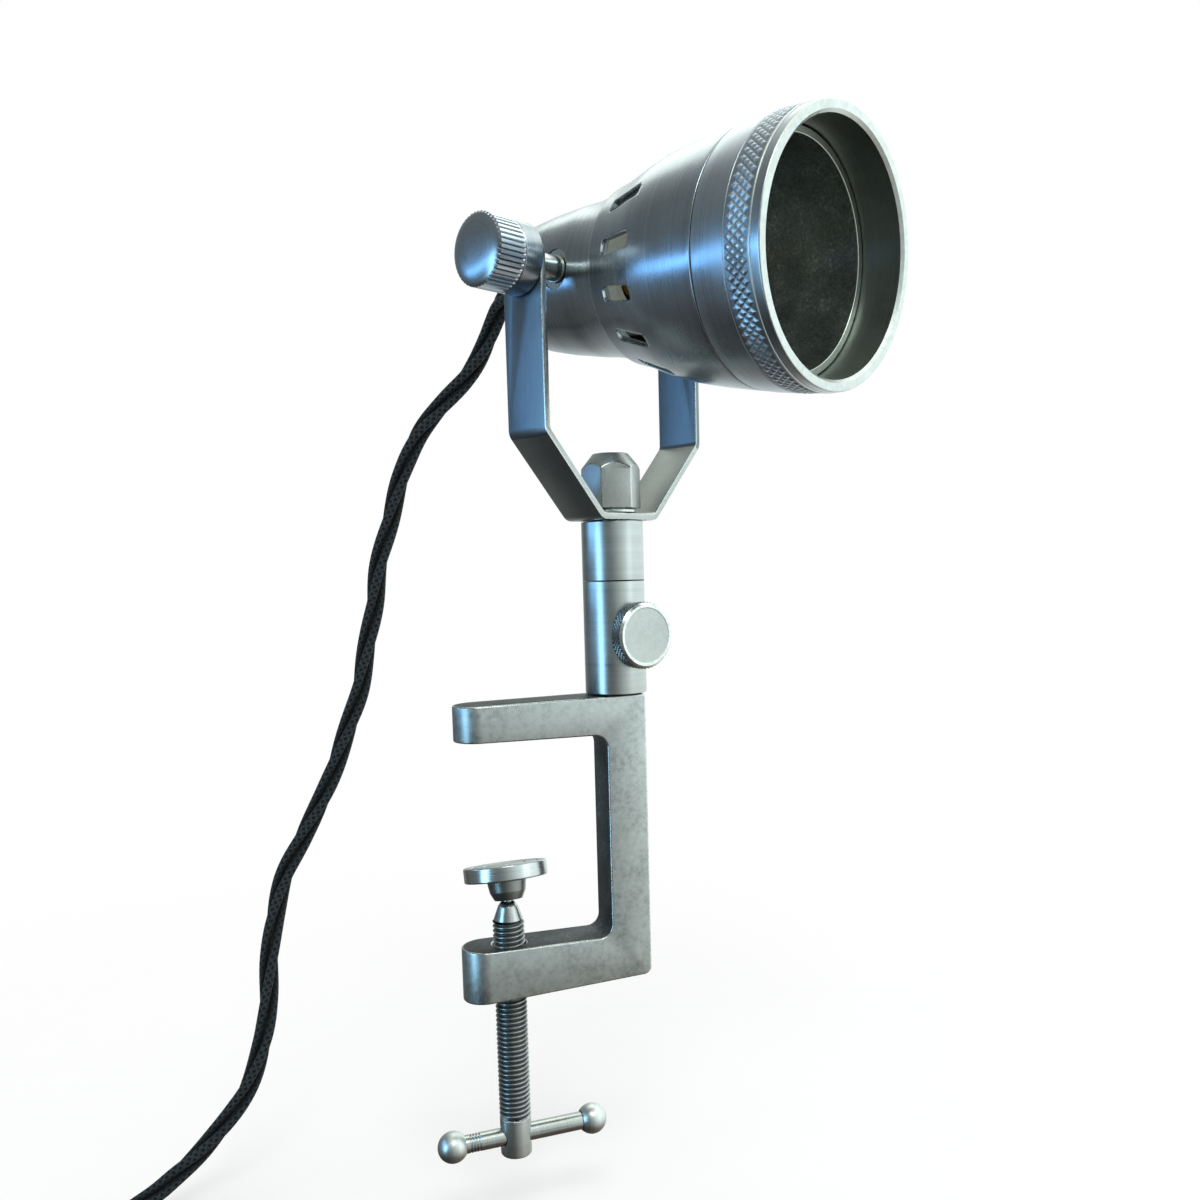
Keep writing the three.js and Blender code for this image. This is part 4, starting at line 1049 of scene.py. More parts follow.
def smooth_line(points, spacing):
    """Evenly spaced places on a centripetal curve through the points, and its length."""
    ends = [2 * points[0] - points[1], *points, 2 * points[-1] - points[-2]]
    dense = []
    for before, here, there, after in zip(ends, ends[1:], ends[2:], ends[3:], strict=False):
        pairs = ((before, here), (here, there), (there, after))
        gaps = [max((b - a).length, LEAST_GAP) ** 0.5 for a, b in pairs]
        leave = (here - before) / gaps[0] - (there - before) / (gaps[0] + gaps[1]) + (there - here) / gaps[1]
        reach = (there - here) / gaps[1] - (after - here) / (gaps[1] + gaps[2]) + (after - there) / gaps[2]
        leave, reach = leave * gaps[1], reach * gaps[1]
        for k in range(CURVE_STEPS):
            t = k / CURVE_STEPS
            dense.append(
                here * (2 * t**3 - 3 * t**2 + 1) + leave * (t**3 - 2 * t**2 + t)
                + there * (3 * t**2 - 2 * t**3) + reach * (t**3 - t**2)
            )
    dense.append(points[-1])
    reached = [0.0]
    for a, b in zip(dense, dense[1:], strict=False):
        reached.append(reached[-1] + (b - a).length)
    count = round(reached[-1] / spacing)
    places, k = [], 0
    for i in range(count + 1):
        goal = reached[-1] * i / count
        while k < len(dense) - 2 and reached[k + 1] < goal:
            k += 1
        share = (goal - reached[k]) / max(reached[k + 1] - reached[k], LEAST_STEP)
        places.append(dense[k].lerp(dense[k + 1], min(1, share)))
    return places, reached[-1]


def coil_points():
    """The coil's turns: the lower layer winds in, climbs in half a turn, and the upper layer winds out."""
    turns = 2 * COIL_TURNS_PER_LAYER + COIL_CLIMB
    steps = round(turns * COIL_LOOP_STEPS)
    points = []
    for i in range(steps + 1):
        at = turns * i / steps
        angle = math.pi + at * 2 * math.pi
        radius = COIL_OUTER - COIL_PITCH * (turns / 2 - abs(at - turns / 2))
        climbed = min(1, max(0, (at - COIL_TURNS_PER_LAYER) / COIL_CLIMB))
        height = COIL_LOW + COIL_PITCH * climbed * climbed * (3 - 2 * climbed)
        across, along = COIL_CENTRE
        points.append(Vector((across + radius * math.cos(angle), along + radius * math.sin(angle), height)))
    return points


def cord_line():
    """The whole cord's middle line from the gland to the plug, and its length, in millimetres."""
    lead = [HEAD @ (Vector((0, distance, 0)) * MM) / MM for distance in CORD_LEAD]
    laid = [Vector(point) for point in (*CORD_RUN, *CORD_THROUGH_SWITCH, *CORD_MID)]
    tail = [Vector(point) for point in CORD_TAIL]
    return smooth_line([*lead, *laid, *coil_points(), *tail], CORD_RING_STEP)


def way_along(places, i):
    """The line's direction at one of its places."""
    return (places[min(i + 1, len(places) - 1)] - places[max(i - 1, 0)]).normalized()


def twisted_strands(line, pitch, strands):
    """Vertices, faces and a map of strands laid round a line, by a frame that doesn't twist of itself."""
    ways = [way_along(line, i) for i in range(len(line))]
    side = ways[0].orthogonal().normalized()
    frames = []
    for way in ways:
        side = (side - way * side.dot(way)).normalized()
        frames.append((side, way.cross(side)))
    step = (line[1] - line[0]).length
    sides = STRAND_SIDES
    verts, faces, marks = [], [], []
    for strand in range(strands):
        turns = [i * step / pitch + strand / strands for i in range(len(line))]
        middles = []
        for place, (across, up), turned_by in zip(line, frames, turns, strict=True):
            angle = 2 * math.pi * turned_by
            middles.append(place + (across * math.cos(angle) + up * math.sin(angle)) * STRAND_OFFSET)
        first = len(verts)
        for i, (middle, (across, _)) in enumerate(zip(middles, frames, strict=True)):
            way = way_along(middles, i)
            a = (across - way * across.dot(way)).normalized()
            verts.extend(round_of(middle, a, way.cross(a), STRAND_RADIUS, sides))
        for i in range(len(middles) - 1):
            here, there = turns[i:i + 2]
            for k in range(sides):
                a, b = first + i * sides + k, first + i * sides + (k + 1) % sides
                faces.append((a, b, b + sides, a + sides))
                low, high = k / sides, (k + 1) / sides
                begin, end = i * step, (i + 1) * step
                marks.append((
                    (begin, low - here), (begin, high - here), (end, high - there), (end, low - there),
                ))
        last = len(verts) - sides
        faces.append(tuple(range(first + sides - 1, first - 1, -1)))
        faces.append(tuple(range(last, last + sides)))
        marks.extend([((0, 0),) * sides] * 2)
    return verts, faces, marks


def sleeve(line, start, length, thick, thin, ridges):
    """A tapered, ridged sleeve along part of the cord's line, from one place to the next in millimetres."""
    first = min(range(len(line)), key=lambda i: (line[i] - Vector(start)).length)
    count = round(abs(length) / CORD_RING_STEP)
    places = [line[first + i * (1 if length > 0 else -1)] for i in range(count + 1)]
    dense, _ = smooth_line(places, SLEEVE_STEP)
    verts, faces = [], []
    sides, last = SLEEVE_SIDES, len(dense) - 1
    for i, place in enumerate(dense):
        way = way_along(dense, i)
        side = way.cross(Vector((0, 0, 1))).normalized()
        share = i / last
        groove = 0
        if 0.08 < share < 0.96:
            groove = SLEEVE_GROOVE * max(0, math.cos(2 * math.pi * share * ridges) - 0.2)
        verts.extend(round_of(place, side, side.cross(way), thick + (thin - thick) * share - groove, sides))
        if i:
            back = (i - 1) * sides
            faces.extend((
                back + k, back + sides + k, back + sides + (k + 1) % sides, back + (k + 1) % sides,
            ) for k in range(sides))
    faces.append(tuple(range(sides)))
    faces.append(tuple(range(len(verts) - 1, last * sides - 1, -1)))
    obj = meshed("sleeve", verts, faces)
    bpy.ops.object.mode_set(mode="EDIT")
    closed_up()
    return obj


# Settings


def length_setting(name, description, value):
    """A setting for a length."""
    return bpy.props.FloatProperty(name=name, description=description, default=value, unit="LENGTH")


def colour_setting(name, description, *value):
    """A setting for a colour."""
    return bpy.props.FloatVectorProperty(
        name=name, description=description, default=value, subtype="COLOR", size=3,
    )


def power_setting(name, description, value):
    """A setting for a lamp's power."""
    return bpy.props.FloatProperty(name=name, description=description, default=value, unit="POWER")


class DesklampSizes(bpy.types.PropertyGroup):
    """Sizes that a user may change without the frame."""

    strand_pitch: length_setting("Cord twist", "Length of one turn of the cord's strands", 0.085)
    strand_count: bpy.props.IntProperty(
        name="Cord strands", description="Strands twisted in the cord", default=3, min=2, max=4,
    )
    edge_round: length_setting("Worn edges", "Width of the rounded edges of the clamp", 0.0005)
    knurl_blunt: length_setting("Knurl bluntness", "Width taken off each knurled diamond's tip", 0.0004)
    vent_corner: length_setting("Vent corners", "Radius of the vent slots' corners", 0.0012)


class DesklampColours(bpy.types.PropertyGroup):
    """Colours of the finishes."""

    clamp: colour_setting("Clamp", "Satin steel of the clamp", 0.49, 0.53, 0.52)
    bell: colour_setting("Bell", "Dark steel of the head", 0.38, 0.43, 0.475)
    bright: colour_setting("Bright steel", "Turned faces and edges", 0.6, 0.64, 0.62)
    lining: colour_setting("Lining", "Dark inside of the head", 0.27, 0.3, 0.27)
    cloth: colour_setting("Cord cloth", "Braided sleeve of the cord", 0.008, 0.012, 0.0145)
    plastic: colour_setting("Plastic", "Switch, plug and tie", 0.02, 0.021, 0.022)
    floor: colour_setting("Floor", "The pale floor", 0.93, 0.93, 0.93)


class DesklampLight(bpy.types.PropertyGroup):
    """Light of the studio."""

    world: bpy.props.FloatProperty(name="World", description="Light from all round", default=0.9, min=0)
    key: power_setting("Key lamp", "Power of the large lamp", 1.8)
    back: power_setting("Back lamp", "Power of the high back lamp", 0.6)
    fill: power_setting("Fill lamp", "Power of the fill lamp", 0.15)
    window: power_setting("Window", "Power of the wide blue lamp", 0.42)
    strip: power_setting("Strip", "Power of the tall blue lamp", 1.3)


def sizes():
    """The sizes in use."""
    return bpy.context.scene.desklamp_sizes


def colour_of(name):
    """One of the colours in use, as three numbers."""
    return tuple(getattr(bpy.context.scene.desklamp_colours, name))


# Pieces


class DESKLAMP_OT_clamp(bpy.types.Operator):
    """Models the clamp frame, with half-round jaw ends, a screw bore and a hole for the post's foot"""

    bl_idname = "desklamp.clamp"
    bl_label = "Clamp frame"

    def execute(self, context):
        inner, outer, half = POST_OFFSET - BAR_INSIDE, POST_OFFSET + BAR_OUTSIDE, FRAME_WIDTH / 2
        body = plate((
            (-TIP_REACH, 0), (inner, 0, INNER_CORNER), (inner, -JAW_OPENING, INNER_CORNER),
            (-TIP_REACH, -JAW_OPENING), (-TIP_REACH, -JAW_OPENING - LOWER_TIP),
            (outer, -JAW_OPENING - LOWER_ROOT, OUTER_CORNER), (outer, UPPER_ROOT), (-TIP_REACH, UPPER_TIP),
        ), FRAME_WIDTH, BEND_STEPS)
        past = outer + CUT_OVERRUN
        plan = plate((
            (-TIP_REACH, -half, half), (past, -half), (past, half), (-TIP_REACH, half, half),
        ), 2 * JAW_OPENING, HALF_ROUND_STEPS)
        combined(body, moved(plan, shift(0, 0, -JAW_OPENING / 2) @ turn("X", 90)), "INTERSECT")
        cut(body, rod(SCREW_BORE, -JAW_OPENING - 2 * LOWER_TIP, -JAW_OPENING + CUT_OVERRUN))
        foot_end = UPPER_ROOT - FOOT_LENGTH - CLEARANCE
        cut(body, rod(FOOT_RADIUS + CLEARANCE, foot_end, UPPER_ROOT + CUT_OVERRUN), POST)
        colour = colour_of("clamp")
        # The bevels' bright finish is wear and a painted highlight
        finished(
            body, milled_steel("milled_steel", colour, 0.6), worn_steel_painted_highlight("worn_edge", colour_of("bright")),
            scaled_steel("dark_scale", shade(colour, 0.26)),
        )
        painted(body, 2, lambda place, normal: abs(normal.z) > 0.9 or (normal.x < -0.5 and place.x > 0))
        bevelled(body, sizes().edge_round / MM, 3, 35, finish=1)
        settled(body, "clamp_body", "clamp_frame")
        return {"FINISHED"}


class DESKLAMP_OT_post(bpy.types.Operator):
    """Turns the lower post with its socket, and the upper post with its spigot, groove and stud"""

    bl_idname = "desklamp.post"
    bl_label = "Post"

    def execute(self, context):
        steel = turned_steel("post_steel", POST, colour_of("clamp"), 0.32, 0.03, patches=0.16)
        shadow = scaled_steel("post_joint", JOINT_SHADOW)
        foot = SOCKET_BOTTOM - FOOT_LENGTH
        socket = turned((
            (0, foot), (FOOT_RADIUS, foot, SOFT_EDGE), (FOOT_RADIUS, SOCKET_BOTTOM),
            (POST_RADIUS, SOCKET_BOTTOM, EDGE), (POST_RADIUS, SOCKET_TOP, POST_EASE),
            (SOCKET_BORE, SOCKET_TOP, EDGE), (SOCKET_BORE, SOCKET_FLOOR), (0, SOCKET_FLOOR),
        ))
        hole = shift(0, 0, LOCK_HEIGHT) @ turn("Z", LOCK_ANGLE) @ turn("Y", 90)
        cut(socket, rod(LOCK_STEM + CLEARANCE, 0, POST_RADIUS + CUT_OVERRUN), hole)
        finished(socket, steel, shadow)
        # Painted shadow: the socket's eased top edge is darkened as the shade of the joint's gap
        painted(socket, 1, lambda place, normal: place.z > SOCKET_TOP - POST_EASE)
        settled(socket, "post_lower", "post_socket", POST)
        foot, low, high = STEM_BOTTOM - SPIGOT_LENGTH, LOCK_HEIGHT - GROOVE_HALF, LOCK_HEIGHT + GROOVE_HALF
        stem = turned((
            (0, foot), (SPIGOT_RADIUS, foot, SOFT_EDGE), (SPIGOT_RADIUS, low, FINE_EDGE),
            (GROOVE_RADIUS, low, SOFT_EDGE), (GROOVE_RADIUS, high, SOFT_EDGE),
            (SPIGOT_RADIUS, high, FINE_EDGE), (SPIGOT_RADIUS, STEM_BOTTOM),
            (POST_RADIUS, STEM_BOTTOM, POST_EASE), (POST_RADIUS, STEM_TOP, EDGE),
            (STUD_RADIUS, STEM_TOP), (STUD_RADIUS, STUD_TOP, SOFT_EDGE), (0, STUD_TOP),
        ))
        finished(stem, steel, shadow)
        # Painted shadow: the stem's eased lower edge is darkened as the shade of the joint's gap
        painted(stem, 1, lambda place, normal: abs(place.z - STEM_BOTTOM) < POST_EASE)
        settled(stem, "post_upper", "post_stem", PAN)
        return {"FINISHED"}


class DESKLAMP_OT_lock_screw(bpy.types.Operator):
    """Turns the lock screw and knurls its rim"""

    bl_idname = "desklamp.lock_screw"
    bl_label = "Lock screw"

    def execute(self, context):
        radius, low, high = LOCK_RADIUS, LOCK_BACK + LOCK_RIM, LOCK_FRONT - LOCK_RIM
        dish = LOCK_FRONT - LOCK_DISH
        screw = turned((
            (0, LOCK_STEM_END), (LOCK_STEM, LOCK_STEM_END, 0.5), (LOCK_STEM, LOCK_BACK),
            (radius - 0.6, LOCK_BACK, EDGE), *band(radius, low, high, LOCK_KNURL_ROWS),
            (radius - 0.7, LOCK_FRONT, EDGE), (radius - 1.4, LOCK_FRONT), (radius - 1.7, dish), (0, dish),
        ), 2 * LOCK_KNURLS, steps=KNURL_EASE_STEPS)
        blunt = sizes().knurl_blunt / MM / 2
        knurled(screw, radius, low, high, LOCK_KNURLS, LOCK_KNURL_ROWS, LOCK_KNURL_HEIGHT, blunt)
        bright = colour_of("bright")
        finished(
            screw, milled_steel("lock_face", shade(bright, 0.75), 0.8, 0.4),
            knurl_steel("lock_knurl", LOCK, shade(bright, 0.42), radius - 0.1, radius + LOCK_KNURL_HEIGHT),
            worn_steel_painted_highlight("lock_edge", shade(bright, 1.2)),
        )
        painted(screw, 1, lambda place, normal: low < place.z < high and reach_of(place) > radius - 0.3)
        # The front edge takes the bright finish: wear and a painted highlight
        painted(screw, 2, lambda place, normal: high < place.z and reach_of(place) > radius - 1.6)
        settled(screw, "lock_thumbscrew", "lock_screw", LOCK, KNURL_SMOOTH_ANGLE)
        return {"FINISHED"}


class DESKLAMP_OT_yoke(bpy.types.Operator):
    """Bends the yoke from a strip, and makes the washer and the cap nut that hold it"""

    bl_idname = "desklamp.yoke"
    bl_label = "Yoke"

    def execute(self, context):
        middle, arm, half = YOKE_UNDER + STRIP_THICKNESS / 2, YOKE_HALF - STRIP_THICKNESS / 2, STRIP_WIDTH / 2
        top, bend = YOKE_UNDER + TILT_RISE + half, YOKE_UNDER + YOKE_BEND_RISE
        under = YOKE_UNDER - CUT_OVERRUN
        chain(eased((
            (-arm, top), (-arm, bend, YOKE_BEND), (-YOKE_FLAT_HALF, middle, YOKE_BEND),
            (YOKE_FLAT_HALF, middle, YOKE_BEND), (arm, bend, YOKE_BEND), (arm, top),
        ), steps=BEND_STEPS))
        thickened(STRIP_WIDTH)
        yoke = closed_up()
        bpy.ops.object.modifier_add(type="SOLIDIFY")
        sheet = yoke.modifiers[-1]
        sheet.thickness, sheet.offset, sheet.use_even_offset = STRIP_THICKNESS * MM, 0, True
        bpy.ops.object.modifier_apply(modifier=sheet.name)
        ends = plate((
            (-half, under), (half, under), (half, top, half), (-half, top, half),
        ), 2 * (YOKE_HALF + CUT_OVERRUN), HALF_ROUND_STEPS)
        combined(yoke, moved(ends, turn("Z", 90)), "INTERSECT")
        cut(yoke, rod(STUD_BORE, under, WASHER_BOTTOM))
        cut(yoke, rod(PIVOT_BORE, -YOKE_HALF - 2, YOKE_HALF + 2), shift(0, 0, top - half) @ turn("Y", 90))
        bright = colour_of("bright")
        # One steel strip in a darker painted shade on its arms and a lighter painted colour on its bent flat,
        # for how light falls on them; its bright bevels are wear and a painted highlight
        finished(
            yoke, brushed_steel("brushed_strip", PAN, shade(colour_of("bell"), 0.53), BRUSHED_UP, 0.42),
            worn_steel_painted_highlight("strip_edge", bright),
            brushed_steel("brushed_flat", PAN, shade(bright, 0.74), BRUSHED_ACROSS, 0.36),
        )
        # The bent flat takes the lighter painted colour
        painted(yoke, 2, lambda place, normal: place.z < bend - YOKE_BEND)
        bevelled(yoke, 0.32, finish=1)
        settled(yoke, "yoke_strip", "yoke", PAN)
        washer = turned((
            (STUD_BORE, WASHER_BOTTOM), (WASHER_RADIUS, WASHER_BOTTOM, FINE_EDGE),
            (WASHER_RADIUS, WASHER_TOP, EDGE), (STUD_BORE, WASHER_TOP),
        ), SMALL_SIDES, ring=True)
        finished(washer, turned_steel("washer_steel", PAN, bright))
        settled(washer, "washer", "yoke_washer", PAN)
        nut = cap_nut(
            NUT_ACROSS, NUT_BOTTOM, NUT_SHOULDER, NUT_TOP, NUT_TOP_RADIUS, STUD_BORE, NUT_BORE_END, NUT_TURN,
        )
        finished(
            nut, brushed_steel("nut_flats", PAN, shade(bright, 0.8), BRUSHED_NUT, 0.42),
            worn_steel_painted_highlight("nut_edge", bright),
        )
        # The nut's bright bevels are wear and a painted highlight
        bevelled(nut, 0.28, angle=25, finish=1)
        settled(nut, "cap_nut_hex", "cap_nut", PAN)
        return {"FINISHED"}


class DESKLAMP_OT_head(bpy.types.Operator):
    """Turns the cup and the bell, and cuts the bell's vent slots"""

    bl_idname = "desklamp.head"
    bl_label = "Cup and bell"

    def execute(self, context):
        colour = colour_of("bell")
        finishes = (
            turned_steel("head_steel", ALONG_HEAD, colour, 0.25),
            scaled_steel("head_lining", colour_of("lining"), 0.46),
            turned_steel("head_bright", ALONG_HEAD, colour_of("bright"), 0.26),
        )
        outside = fair([
            (share * CUP_RADIUS, CUP_REAR + at * (CUP_FRONT - CUP_REAR)) for at, share in CUP_OUTLINE
        ])
        spigot, end = BELL_OUTLINE[0][1] * BELL_RADIUS - BELL_WALL - CLEARANCE, CUP_FRONT + SPIGOT_STEP
        inside = [(radius - CUP_WALL, place) for radius, place in outside if place > CUP_REAR + 6][-2::-1]
        floor = CUP_REAR + CUP_FLOOR
        cup = turned((
            (CUP_HOLE, CUP_REAR), *outside[:-1], (CUP_RADIUS, CUP_FRONT, EDGE), (spigot, CUP_FRONT),
            (spigot, end, EDGE), (spigot - SPIGOT_WALL, end), *inside, (inside[-1][0] - CUP_FLOOR, floor),
            (CUP_HOLE, floor),
        ), ring=True)
        for side in (-1, 1):
            across = turn("Y", 90 * side)
            cut(cup, rod(PIVOT_BORE, HOLDER_RADIUS - 1, CUP_RADIUS + 1), across)
            cut(cup, rod(PIVOT_FACE_RADIUS, PIVOT_FACE, CUP_RADIUS + 1), across)
        finished(cup, *finishes)
        painted(cup, 1, inward)
        painted(cup, 2, lambda place, normal: abs(normal.x) > 0.999 and abs(place.x) < PIVOT_FACE + 0.1)
        settled(cup, "head_cup", "neck_cup", ALONG_HEAD)
        self.bell(finishes, shade(colour, 1.3))
        return {"FINISHED"}

    def bell(self, finishes, edge):
        """Turns the bell round the same axis and cuts its slots."""
        outside = fair([
            (share * BELL_RADIUS, BELL_REAR + at * (BELL_FRONT - BELL_REAR)) for at, share in BELL_OUTLINE
        ])
        inside = [
            (radius - BELL_WALL, place) for radius, place in reversed(outside)
            if CUP_FRONT + 5 < place < BELL_BORE_BACK - 2
        ]
        rear = outside[0][0]
        bell = turned((
            (rear, BELL_REAR, BELL_LIP_EASE), *outside[1:-1], (BELL_RADIUS, BELL_FRONT, EDGE),
            (NOSE_RADIUS, BELL_FRONT), (NOSE_RADIUS, NOSE_FRONT, EDGE), (BELL_BORE, NOSE_FRONT, EDGE),
            (BELL_BORE, BELL_BORE_BACK), *inside, (rear - BELL_WALL, CUP_FRONT + SPIGOT_STEP + CLEARANCE),
            (rear - BELL_WALL, BELL_REAR),
        ), 10 * VENT_COUNT, ring=True)
        depth = BELL_RADIUS - HOLDER_RADIUS
        slot = box(VENT_WIDTH, VENT_LENGTH, sizes().vent_corner / MM, depth, steps=6)
        moved(slot, shift(0, (BELL_RADIUS + HOLDER_RADIUS) / 2 + VENT_OUTWARD, VENT_START + VENT_LENGTH / 2))
        first = 90 - VENT_FIRST
        slots = [copied(slot, turn("Z", first - 360 * i / VENT_COUNT)) for i in range(1, VENT_COUNT)]
        cut(bell, merged([moved(slot, turn("Z", first)), *slots]))
        # The vent edges are bright with wear and a painted highlight; the rear lip is a painted highlight in
        # very bright steel
        lip = worn_steel_painted_highlight("bell_lip", shade(colour_of("bright"), 1.45))
        finished(bell, *finishes, worn_steel_painted_highlight("vent_edge", edge), lip)
        painted(bell, 1, inward)
        painted(bell, 1, lambda place, normal: VENT_START < place.z < VENT_PAINT_END and abs(normal.z) > 0.8)
        painted(bell, 2, lambda place, normal: place.z > NOSE_FRONT - 0.5)
        # Painted highlight along the bell's rear lip
        painted(bell, 4, lambda place, normal: place.z < BELL_REAR + 0.5)
        bevelled(bell, 0.22, angle=50, finish=3)
        settled(bell, "head_bell", "bell", ALONG_HEAD)


class DESKLAMP_OT_bezel(bpy.types.Operator):
    """Turns the front ring and knurls its band in diamonds"""

    bl_idname = "desklamp.bezel"
    bl_label = "Bezel"

    def execute(self, context):
        low, high, rows, radius = BEZEL_KNURL_START, BEZEL_KNURL_END, BEZEL_KNURL_ROWS, BEZEL_RADIUS
        root = radius - BEZEL_KNURL_HEIGHT
        ring = turned((
            (BEZEL_BORE, BEZEL_REAR), (radius * 0.966, BEZEL_REAR, SOFT_EDGE),
            (radius * 0.98, BEZEL_REAR + 4), (radius * 0.992, low - 0.5, FINE_EDGE), (root, low - 0.4),
            *band(root, low, high, rows), (root, high + 0.3), (radius, high + 0.5, HAIR_EDGE),
            (radius, high + 0.9, HAIR_EDGE), (radius - 0.25, high + 1), (radius - 0.2, BEZEL_FRONT, 0.5),
            (BEZEL_BORE + BEZEL_CHAMFER, BEZEL_FRONT), (BEZEL_BORE, BEZEL_FRONT - BEZEL_CHAMFER),
        ), 2 * BEZEL_KNURLS, ring=True, steps=KNURL_EASE_STEPS)
        knurled(ring, root, low, high, BEZEL_KNURLS, rows, BEZEL_KNURL_HEIGHT, sizes().knurl_blunt / MM)
        colour = colour_of("bell")
        finished(
            ring, turned_steel("bezel_steel", ALONG_HEAD, shade(colour, 1.12)),
            knurl_steel("bezel_knurl", ALONG_HEAD, shade(colour, 1.6), root - 0.1, radius + 0.05),
            milled_steel("bezel_bright", colour_of("bright"), 0.8, 0.36),
            turned_steel("bezel_lining", ALONG_HEAD, colour_of("lining"), 0.46, 0.08),
        )
        painted(ring, 3, inward)
        painted(ring, 1, lambda place, normal: low < place.z < high and reach_of(place) > root - 0.3)
        painted(ring, 2, lambda place, normal: place.z < BEZEL_REAR + 0.4 or place.z > BEZEL_FRONT - 0.45)
        painted(ring, 2, lambda place, normal: high + 0.2 < place.z < high + 1 and reach_of(place) > root)
        settled(ring, "head_bezel", "bezel_ring", ALONG_HEAD, KNURL_SMOOTH_ANGLE)
        return {"FINISHED"}


class DESKLAMP_OT_pivots(bpy.types.Operator):
    """Turns the pivot pins, ribs the tilt knob and makes the nut opposite"""

    bl_idname = "desklamp.pivots"
    bl_label = "Pivots and knob"

    def execute(self, context):
        bright = colour_of("bright")
        for side, place, end in (
            ("left", TOWARDS_KNOB, PIVOT_END_IN_KNOB), ("right", AWAY_FROM_KNOB, PIVOT_END_IN_NUT),
        ):
            pin = turned((
                (0, PIVOT_INNER), (PIVOT_RADIUS, PIVOT_INNER, EDGE), (PIVOT_RADIUS, PIVOT_FLANGE_START),
                (PIVOT_FLANGE_RADIUS, PIVOT_FLANGE_START, HAIR_EDGE),
                (PIVOT_FLANGE_RADIUS, PIVOT_FLANGE_END, EDGE),
                (PIVOT_SHOULDER_RADIUS, PIVOT_FLANGE_END, HAIR_EDGE),
                (PIVOT_SHOULDER_RADIUS, PIVOT_SHOULDER_END, EDGE), (PIVOT_RADIUS, PIVOT_SHOULDER_END),
                (PIVOT_RADIUS, end, SOFT_EDGE), (0, end),
            ), SMALL_SIDES)
            name = "pivot_pin_" + side
            finished(pin, turned_steel(name + "_steel", place, shade(bright, 1.05), 0.24))
            settled(pin, name, "pivot_stud_" + side, place)
        self.knob()
        nut = cap_nut(
            END_NUT_ACROSS, ARM_OUTSIDE, ARM_OUTSIDE + END_NUT_SHOULDER, ARM_OUTSIDE + END_NUT_LENGTH,
            END_NUT_TOP_RADIUS, PIVOT_BORE, ARM_OUTSIDE + END_NUT_BORE, 0,
        )
        finished(
            nut, brushed_steel("end_nut_flats", AWAY_FROM_KNOB, bright, BRUSHED_NUT),
            worn_steel_painted_highlight("end_nut_edge", bright),
        )
        # The nut's bright bevels are wear and a painted highlight
        bevelled(nut, 0.2, angle=25, finish=1)
        settled(nut, "end_nut", "pivot_cap_nut", AWAY_FROM_KNOB)
        return {"FINISHED"}

    def knob(self):
        """Turns the knob with its low dome, and presses the grooves between its ribs in."""
        radius, bore = KNOB_RADIUS, KNOB_BORE_END
        collar, top = ARM_OUTSIDE + KNOB_COLLAR, ARM_OUTSIDE + KNOB_LENGTH
        dome = fair([(share * radius, top + rise * KNOB_DOME) for share, rise in KNOB_DOME_OUTLINE], 0.8)
        knob = turned((
            (PIVOT_BORE, ARM_OUTSIDE), (radius, ARM_OUTSIDE, 0.6), (radius, collar - 0.5, EDGE),
            (radius - 0.3, collar - 0.2), (radius, collar), (radius, collar + 0.6), *dome,
            (0, bore), (PIVOT_BORE, bore), (PIVOT_BORE, ARM_OUTSIDE),
        ), 4 * KNOB_RIBS)
        step = math.pi / 2 / KNOB_RIBS
        picked(knob, lambda place: (
            place.z > collar + 0.3 and reach_of(place) > radius - 0.2
            and round(math.atan2(place.y, place.x) / step) % 4 == 2
        ))
        scaled_round((radius - KNOB_RIB_DEPTH) / radius)
        colour = colour_of("bell")
        finished(
            knob, turned_steel("knob_steel", TOWARDS_KNOB, colour, 0.28),
            knurl_steel("knob_ribs", TOWARDS_KNOB, shade(colour, 1.35), radius - KNOB_RIB_DEPTH, radius),
        )
        painted(knob, 1, lambda place, normal: collar < place.z < top and reach_of(place) > radius - 1)
        settled(knob, "tilt_knob_turned", "tilt_knob", TOWARDS_KNOB, 20)


